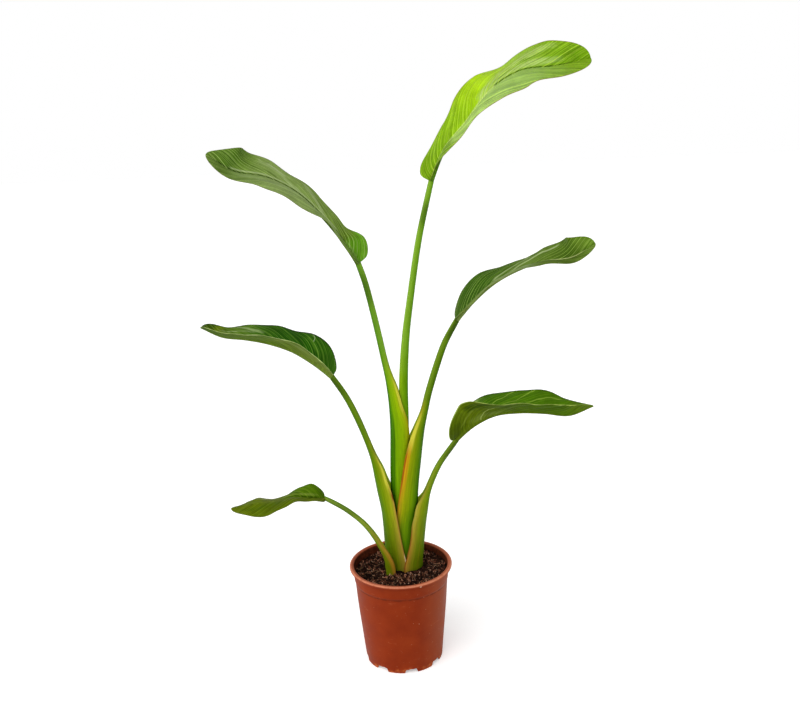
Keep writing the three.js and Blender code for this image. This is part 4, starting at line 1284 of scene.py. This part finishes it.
def pot_finish():
    finish = Finish("terracotta_plastic", Specular_IOR_Level=0.07)
    where = finish.place()
    x, y, z = finish.parts(where)

    def distance(vector, origin=(0, 0, 0)):
        inputs = {0: vector, 1: tuple(MM * c for c in origin)}
        return finish.add("VectorMath", inputs, operation="DISTANCE").outputs["Value"]

    def spot(centre, size):
        """1 within a small ball round a point in millimetres, 0 outside."""
        return finish.span(distance(where, centre), 0.6 * size * MM, size * MM, 1.0, 0.0)

    height = finish.maths("DIVIDE", z, MM)
    from_axis = distance(finish.add("CombineXYZ", {0: x, 1: y}).outputs[0])
    radius = finish.maths("DIVIDE", from_axis, MM)
    mottle = finish.noise(where, 26, 5, 0.6)
    grain = finish.noise(where, 190, 4, 0.7)
    # painted highlight along the outer curve of the rolled lip
    lip_highlight = finish.times(finish.span(height, 166.8, 168.8), finish.span(grain, 0.3, 0.55, 0.5, 0.9))
    lip_highlight = finish.times(lip_highlight, finish.span(radius, 81.2, 83.2, 0.35, 1.0))
    # painted shade in the corner under the step, and painted shadow in a band under the rim
    step_shade = finish.band(height, (138.5, 141.5), (142.5, 143.5))
    step_shade = finish.times(step_shade, finish.span(grain, 0.35, 0.6, 0.1, 0.7))
    rim_shade = finish.times(finish.band(height, (161.5, 164), (165, 166)), 0.5)
    scratch = finish.noise(finish.stretch(where, (30, 30, 260)), 1.0, 4, 0.6)
    feet = finish.times(finish.span(height, 2, 26, 1.0, 0.0), finish.noise(where, 60, 4, 0.7))
    # painted shade on the inside of the collar, above the step and weaker near the rim
    from_wall = finish.maths("MULTIPLY_ADD", height, -INNER_SLOPE, radius)
    inner_shade = finish.span(from_wall, MID_WALL - 0.3, MID_WALL, 1.0, 0.0)
    inner_shade = finish.times(inner_shade, finish.span(height, 142, 145))
    inner_shade = finish.times(inner_shade, finish.span(height, 166.5, 168.6, 1.0, 0.25))
    inner_shade_colour = finish.blend(finish.span(grain, 0.4, 0.65), (52, 24, 14), (92, 44, 26))
    layers = [
        # painted sheen towards the left and right sides of the pot
        (finish.span(x, -80 * MM, -30 * MM, 0.12, 0.0), (152, 76, 44)),
        (finish.span(x, 20 * MM, 75 * MM, 0.0, 0.4), (164, 90, 52)),
        (lip_highlight, (212, 132, 100)), (step_shade, (88, 30, 8)), (rim_shade, (84, 30, 12)),
        (finish.span(scratch, 0.64, 0.74, 0, 0.5), (190, 104, 68)),
        (finish.span(feet, 0.4, 0.6, 0, 0.65), (200, 106, 52)),
        (finish.span(grain, 0.66, 0.74, 0, 0.55), (84, 40, 24)),
        (finish.span(finish.noise(where, 330, 2), 0.73, 0.78, 0, 0.7), (214, 160, 130)),
        (finish.times(inner_shade, 0.9), inner_shade_colour),
        (spot(CHIP, 1.9), (232, 186, 158)), (spot(NICK, 1.6), (48, 20, 14)),
    ]
    colour = finish.ramp(mottle, {0.3: (128, 40, 8), 0.55: (138, 47, 11), 0.75: (147, 54, 17)})
    for mask, tint in layers:
        colour = finish.blend(mask, colour, tint)
    drawn = finish.noise(finish.stretch(where, (40, 40, 4)), 1.0, 2)
    normal = finish.bump(finish.noise(where, 900, 2), 0.00006, 0.5)
    normal = finish.bump(drawn, 0.0006, 0.35, under=normal)
    gloss = finish.span(mottle, 0.3, 0.7, 0.34, 0.5)
    return finish.wear(Base_Color=colour, Normal=normal, Roughness=gloss)


theta = np.linspace(0, 2 * np.pi, POT_COLUMNS, endpoint=False)
pitch = 2 * np.pi / FEET
off_notch = abs((theta - NOTCH_FIRST + pitch / 2) % pitch - pitch / 2)
ragged = 1 + 0.16 * lumps(np.sin(theta) * 90, np.cos(theta) * 90, 7, 5)
notch_end = NOTCH_WIDTH / 2
lifted = NOTCH_HEIGHT * ragged * (1 - smoothstep(off_notch, notch_end - 0.02, notch_end + 0.03))
radius, height = pot_outline.T[:, :, None]
near_foot = np.clip(1 - height / BASE_LIFT, 0, 1) * (radius > FOOT_RADIUS - 3)
out_of_round = OUT_OF_ROUND * np.cos(2 * theta + 0.7) * smoothstep(height, 20, 160)
pot_points = around_axis(radius + out_of_round * (radius > 40), theta, height + lifted * near_foot)
pot_faces = outward(pot_points, quads(len(pot_outline), POT_COLUMNS, around=True, closed=True))
pot = make_piece("pot_body", pot_points * MM, pot_faces, pot_finish())

# %% Drain holes
DRILL_SIDES = 24
drill_angle = NOTCH_FIRST + np.arange(DRAIN_COUNT) * 2 * np.pi / DRAIN_COUNT
drill_ring = np.linspace(0, 2 * np.pi, DRILL_SIDES, endpoint=False)
centres = around_axis(DRAIN_RING, drill_angle, 0)[:, None, None]
circles = [around_axis(DRAIN_RADIUS, drill_ring, z) for z in (BASE_LIFT - 3, floor_top + 3)]
drill_points = centres + np.stack(circles)
first_points = 2 * DRILL_SIDES * np.arange(DRAIN_COUNT)
drill_faces = [side + start for start in first_points
               for side in quads(2, DRILL_SIDES, around=True)]
drill_faces += [np.arange(DRILL_SIDES)[::-1] + start for start in first_points]
drill_faces += [np.arange(DRILL_SIDES) + DRILL_SIDES + start for start in first_points]
drills = make_piece("drills", drill_points * MM, drill_faces, pot.data.materials[0], smooth=False)
cut = pot.modifiers.new("drain_holes", "BOOLEAN")
cut.object = drills
cut.solver = "EXACT"
bpy.context.view_layer.update()
pierced = bpy.data.meshes.new_from_object(pot.evaluated_get(bpy.context.evaluated_depsgraph_get()))
pot.modifiers.clear()
pot.data = pierced
bpy.data.objects.remove(drills)
print("pot has", len(pierced.polygons), "faces after the drain holes")

# %% [markdown]
# ## The potting soil
# Peaty soil is a loose heap of crumbs. A displaced surface alone looks like rubber, and a heap of
# crumbs alone lets light through, so both are used. The filling is a closed form with a cloddy top;
# on it lie crumbs, bark chips, pale grit, straw and root hairs, each a few faces only and repeated
# in one mesh.

# %% Filling
SOIL_CLEAR = 0.5
SOIL_RINGS = 84
SOIL_COLUMNS = 300
MOUND_HIGH, MOUND_WIDE = 2.5, 45


def soil_height(x, y):
    """Height of the soil: a low mound that tilts a little, with wide waves."""
    clods = np.sin(x / 7 + 1.3) * np.cos(y / 8) + 0.6 * np.sin((x - y) / 4.3)
    mound = MOUND_HIGH * np.exp(-((x - 5) ** 2 + (y - 5) ** 2) / MOUND_WIDE**2)
    return SOIL_TOP - 1.5 + mound + x / 50 + 0.9 * clods


def soil_surface(x, y):
    """The same with crumbs of three sizes on it."""
    crumbs = 0.8 * lumps(x, y, 6.5, 11) + 0.75 * lumps(x, y, 3.1, 12) + 0.45 * lumps(x, y, 1.5, 13)
    return soil_height(x, y) + crumbs


soil_edge = float(wall_radius(SOIL_TOP - 6)) - WALL - SOIL_CLEAR
bottom = BASE_LIFT + BASE_THICK + SOIL_CLEAR
ring = np.linspace(0, 2 * np.pi, SOIL_COLUMNS, endpoint=False)
r_top = np.r_[0.2, np.linspace(1, soil_edge, SOIL_RINGS)][:, None]
top_rows = around_axis(r_top, ring, soil_surface(r_top * np.cos(ring), r_top * np.sin(ring)))
side_heights = np.array([STEP_HEIGHT, BELLY_HEIGHT, 50, bottom + 1])[:, None]
side_rows = around_axis(wall_radius(side_heights) - WALL - SOIL_CLEAR, ring, side_heights)
r_floor = np.array([float(wall_radius(bottom)) - WALL - SOIL_CLEAR - 1, 30, 0.2])[:, None]
soil_points = np.concatenate([top_rows, side_rows, around_axis(r_floor, ring, bottom)])
soil_faces = list(quads(len(soil_points), SOIL_COLUMNS, around=True)[:, ::-1])
last_ring = (len(soil_points) - 1) * SOIL_COLUMNS
soil_faces += [np.arange(SOIL_COLUMNS), np.arange(SOIL_COLUMNS)[::-1] + last_ring]


def soil_finish(name, dark, brown, pale, scale=1.0):
    finish = Finish(name, Roughness=0.92, Specular_IOR_Level=0.05)
    where = finish.place()
    grains = finish.noise(where, 320 * scale, 4, 0.7)
    colour = finish.ramp(grains, {0.36: dark, 0.52: brown, 0.68: pale})
    colour = finish.shade(colour, finish.noise(where, 60, 3), 0.35, 0.65, 0.5, 1.25)
    return finish.wear(Base_Color=colour, Normal=finish.bump(grains, 0.0011))


peat = soil_finish("peat", (12, 5, 5), (36, 18, 12), (86, 52, 36))
soil_body = make_piece("soil_body", soil_points * MM, soil_faces, peat)

# %% [markdown]
# ### What lies on the soil
# One small shape is repeated many times. The random turns come from random unit quaternions, the
# sizes of the crumbs from a skewed draw with many small ones and a few large ones, and the places
# keep clear of the leaf bases. All copies of one kind are worked out in one array and make one
# mesh.

# %% Scattered bits
rng = np.random.default_rng(4)
BASES_AT, BASES_HALF = (4, 8), (38, 27)
CRUMB_COUNT, BARK_COUNT, GRIT_COUNT = 1700, 330, 120
DENT = 0.25

# the corners of an icosahedron; three corners that lie an edge apart make a face
GOLD = (1 + 5**0.5) / 2
EDGE = 1.06
corners = [np.roll((0, a, b * GOLD), -k) for k in range(3) for a in (-1, 1) for b in (-1, 1)]
CRUMB = unit(np.array(corners))
close = np.linalg.norm(CRUMB[:, None] - CRUMB[None], axis=-1) < EDGE
triples = [t for t in combinations(range(12), 3) if all(close[i, j] for i, j in combinations(t, 2))]
CRUMB_FACES = np.array([t if np.linalg.det(CRUMB[list(t)]) > 0 else t[::-1] for t in triples])


def repeated(faces, points_each, count):
    """The faces of many copies of one shape whose points are stored one copy after the other."""
    starts = points_each * np.arange(count)[:, None, None]
    return (faces[None] + starts).reshape(-1, faces.shape[1])


def random_turns(count):
    """Rotation matrices from random unit quaternions."""
    w, x, y, z = unit(rng.normal(size=(count, 4))).T
    return np.stack([
        np.stack([1 - 2 * (y * y + z * z), 2 * (x * y - w * z), 2 * (x * z + w * y)], -1),
        np.stack([2 * (x * y + w * z), 1 - 2 * (x * x + z * z), 2 * (y * z - w * x)], -1),
        np.stack([2 * (x * z - w * y), 2 * (y * z + w * x), 1 - 2 * (x * x + y * y)], -1),
    ], 1)


def open_places(count, margin=2.0):
    """Random places on the soil, inside the pot and outside the oval that the leaf bases fill."""
    draw = rng.uniform(-1, 1, (count * 3, 2)) * (soil_edge - margin)
    inside_pot = np.hypot(*draw.T) < soil_edge - margin
    bases = (((draw - BASES_AT) / BASES_HALF) ** 2).sum(1) < 1
    return draw[inside_pot & ~bases][:count]


def scatter(name, sizes, places, material, sink=0.2, smooth=True):
    """Crumbs of twenty faces, each dented and turned at random, stretched to its size, and set on
    the soil, where it sinks in by a share of its size."""
    count = len(places)
    bent = CRUMB[None] * (1 + rng.uniform(-DENT, DENT, (count, len(CRUMB), 1)))
    points = np.einsum("nij,nmj->nmi", random_turns(count), bent * sizes[:, None])
    ground = soil_surface(*places.T) + sizes.mean(1) * (0.5 - sink)
    points += np.column_stack([places, ground])[:, None]
    every = repeated(CRUMB_FACES, len(CRUMB), count)
    return make_piece(name, points * MM, every, material, smooth=smooth)


crumb_size = rng.beta(1.3, 4, (CRUMB_COUNT, 1)) * rng.uniform(0.7, 1.2, (CRUMB_COUNT, 3))
crumb_size = 0.55 + 1.5 * crumb_size
crumb_places = open_places(CRUMB_COUNT)
crumbs = scatter("crumbs", crumb_size[:len(crumb_places)], crumb_places, peat)
bark = soil_finish("bark", (62, 30, 20), (122, 72, 52), (204, 156, 126), 0.8)
bark_places = open_places(BARK_COUNT)
bark_size = rng.uniform(0.8, 3.2, (len(bark_places), 1)) * np.array([[1.3, 0.8, 0.35]])
bark_bits = scatter("bark_bits", bark_size, bark_places, bark, smooth=False)
pale_stone = soil_finish("pale_grit", (140, 100, 82), (186, 146, 124), (222, 196, 174), 1.5)
grit_places = open_places(GRIT_COUNT)
grit_size = rng.uniform(0.5, 1.3, (len(grit_places), 1))
grit_size = grit_size * rng.uniform(0.7, 1.2, (len(grit_places), 3))
grit = scatter("grit", grit_size, grit_places, pale_stone, sink=0.0)

# %% Straw and root fibres
FIBRE_STEPS = 8
FIBRE_SIDES = 4
STRAW_COUNT, STRAW_THICK = 120, 0.38
ROOT_COUNT, ROOT_THICK = 190, 0.2


def fibres(name, places, lengths, thick, material, bend=0.35):
    """Thin bent threads: each follows a quadratic curve over the soil, with a square section that
    shrinks to the ends."""
    count = len(places)
    f = np.linspace(-0.5, 0.5, FIBRE_STEPS)
    facing = rng.uniform(0, 2 * np.pi, count)
    ahead = np.stack([np.cos(facing), np.sin(facing)], -1)
    beside = np.stack([-ahead[:, 1], ahead[:, 0]], -1)
    curve = rng.uniform(-bend, bend, count)
    path = places[:, None] + ahead[:, None] * (f * lengths[:, None])[..., None]
    path = path + beside[:, None] * ((f**2 - 0.1) * 4 * (curve * lengths)[:, None])[..., None]
    path *= np.minimum(1, (soil_edge - 1) / np.linalg.norm(path, axis=-1, keepdims=True))
    ground = soil_surface(path[..., 0], path[..., 1])
    z = 0.4 * ground.max(1, keepdims=True) + 0.6 * ground + thick
    slim = thick * np.sqrt(1.05 - (2 * f) ** 2)[:, None]
    corner = np.linspace(0, 2 * np.pi, FIBRE_SIDES, endpoint=False)
    flat = path[:, :, None] + beside[:, None, None] * (np.cos(corner) * slim)[None, ..., None]
    points = np.concatenate([flat, (z[..., None] + np.sin(corner) * slim)[..., None]], axis=-1)
    ends = np.arange(FIBRE_SIDES)
    one = np.vstack([quads(FIBRE_STEPS, FIBRE_SIDES, around=True), ends[::-1],
                     ends + (FIBRE_STEPS - 1) * FIBRE_SIDES])
    every = repeated(outward(points[0], one), FIBRE_STEPS * FIBRE_SIDES, count)
    return make_piece(name, points * MM, every, material)


straw_places = open_places(STRAW_COUNT, 5)
straw_finish = soil_finish("straw", (124, 86, 60), (176, 134, 102), (216, 184, 150), 0.7)
straw_lengths = rng.uniform(3, 15, len(straw_places))
straw = fibres("straw", straw_places, straw_lengths, STRAW_THICK, straw_finish)
root_places = open_places(ROOT_COUNT, 4)
root_finish = soil_finish("root_hair", (96, 50, 32), (146, 88, 60), (190, 134, 106), 0.7)
root_lengths = rng.uniform(4, 12, len(root_places))
root_hairs = fibres("root_hairs", root_places, root_lengths, ROOT_THICK, root_finish, bend=0.7)

# %% [markdown]
# ## Which piece stands for which part
# Every piece rides on the one body of the plant. The fine pieces take the place of the plain
# solids of the imported model, which are hidden.

# %% Rides and replacements
for number in stalks:
    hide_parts(f"leaf_{number}_stalk")
    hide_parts(f"leaf_{number}_blade")
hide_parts("pot")
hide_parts("soil")
soil_pieces = [soil_body, crumbs, bark_bits, grit, straw, root_hairs]
riders = [*stalks.values(), *blades.values(), pot, *soil_pieces]
for piece in riders:
    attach(piece, "root")
print("on the root body:", [piece.name for piece in riders])

# %% Sizes
dressed_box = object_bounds()
sizes = {"cad": [list(map(float, corner)) for corner in cad_box],
         "visual": [list(map(float, corner)) for corner in dressed_box]}
print("sizes in metres:", sizes)
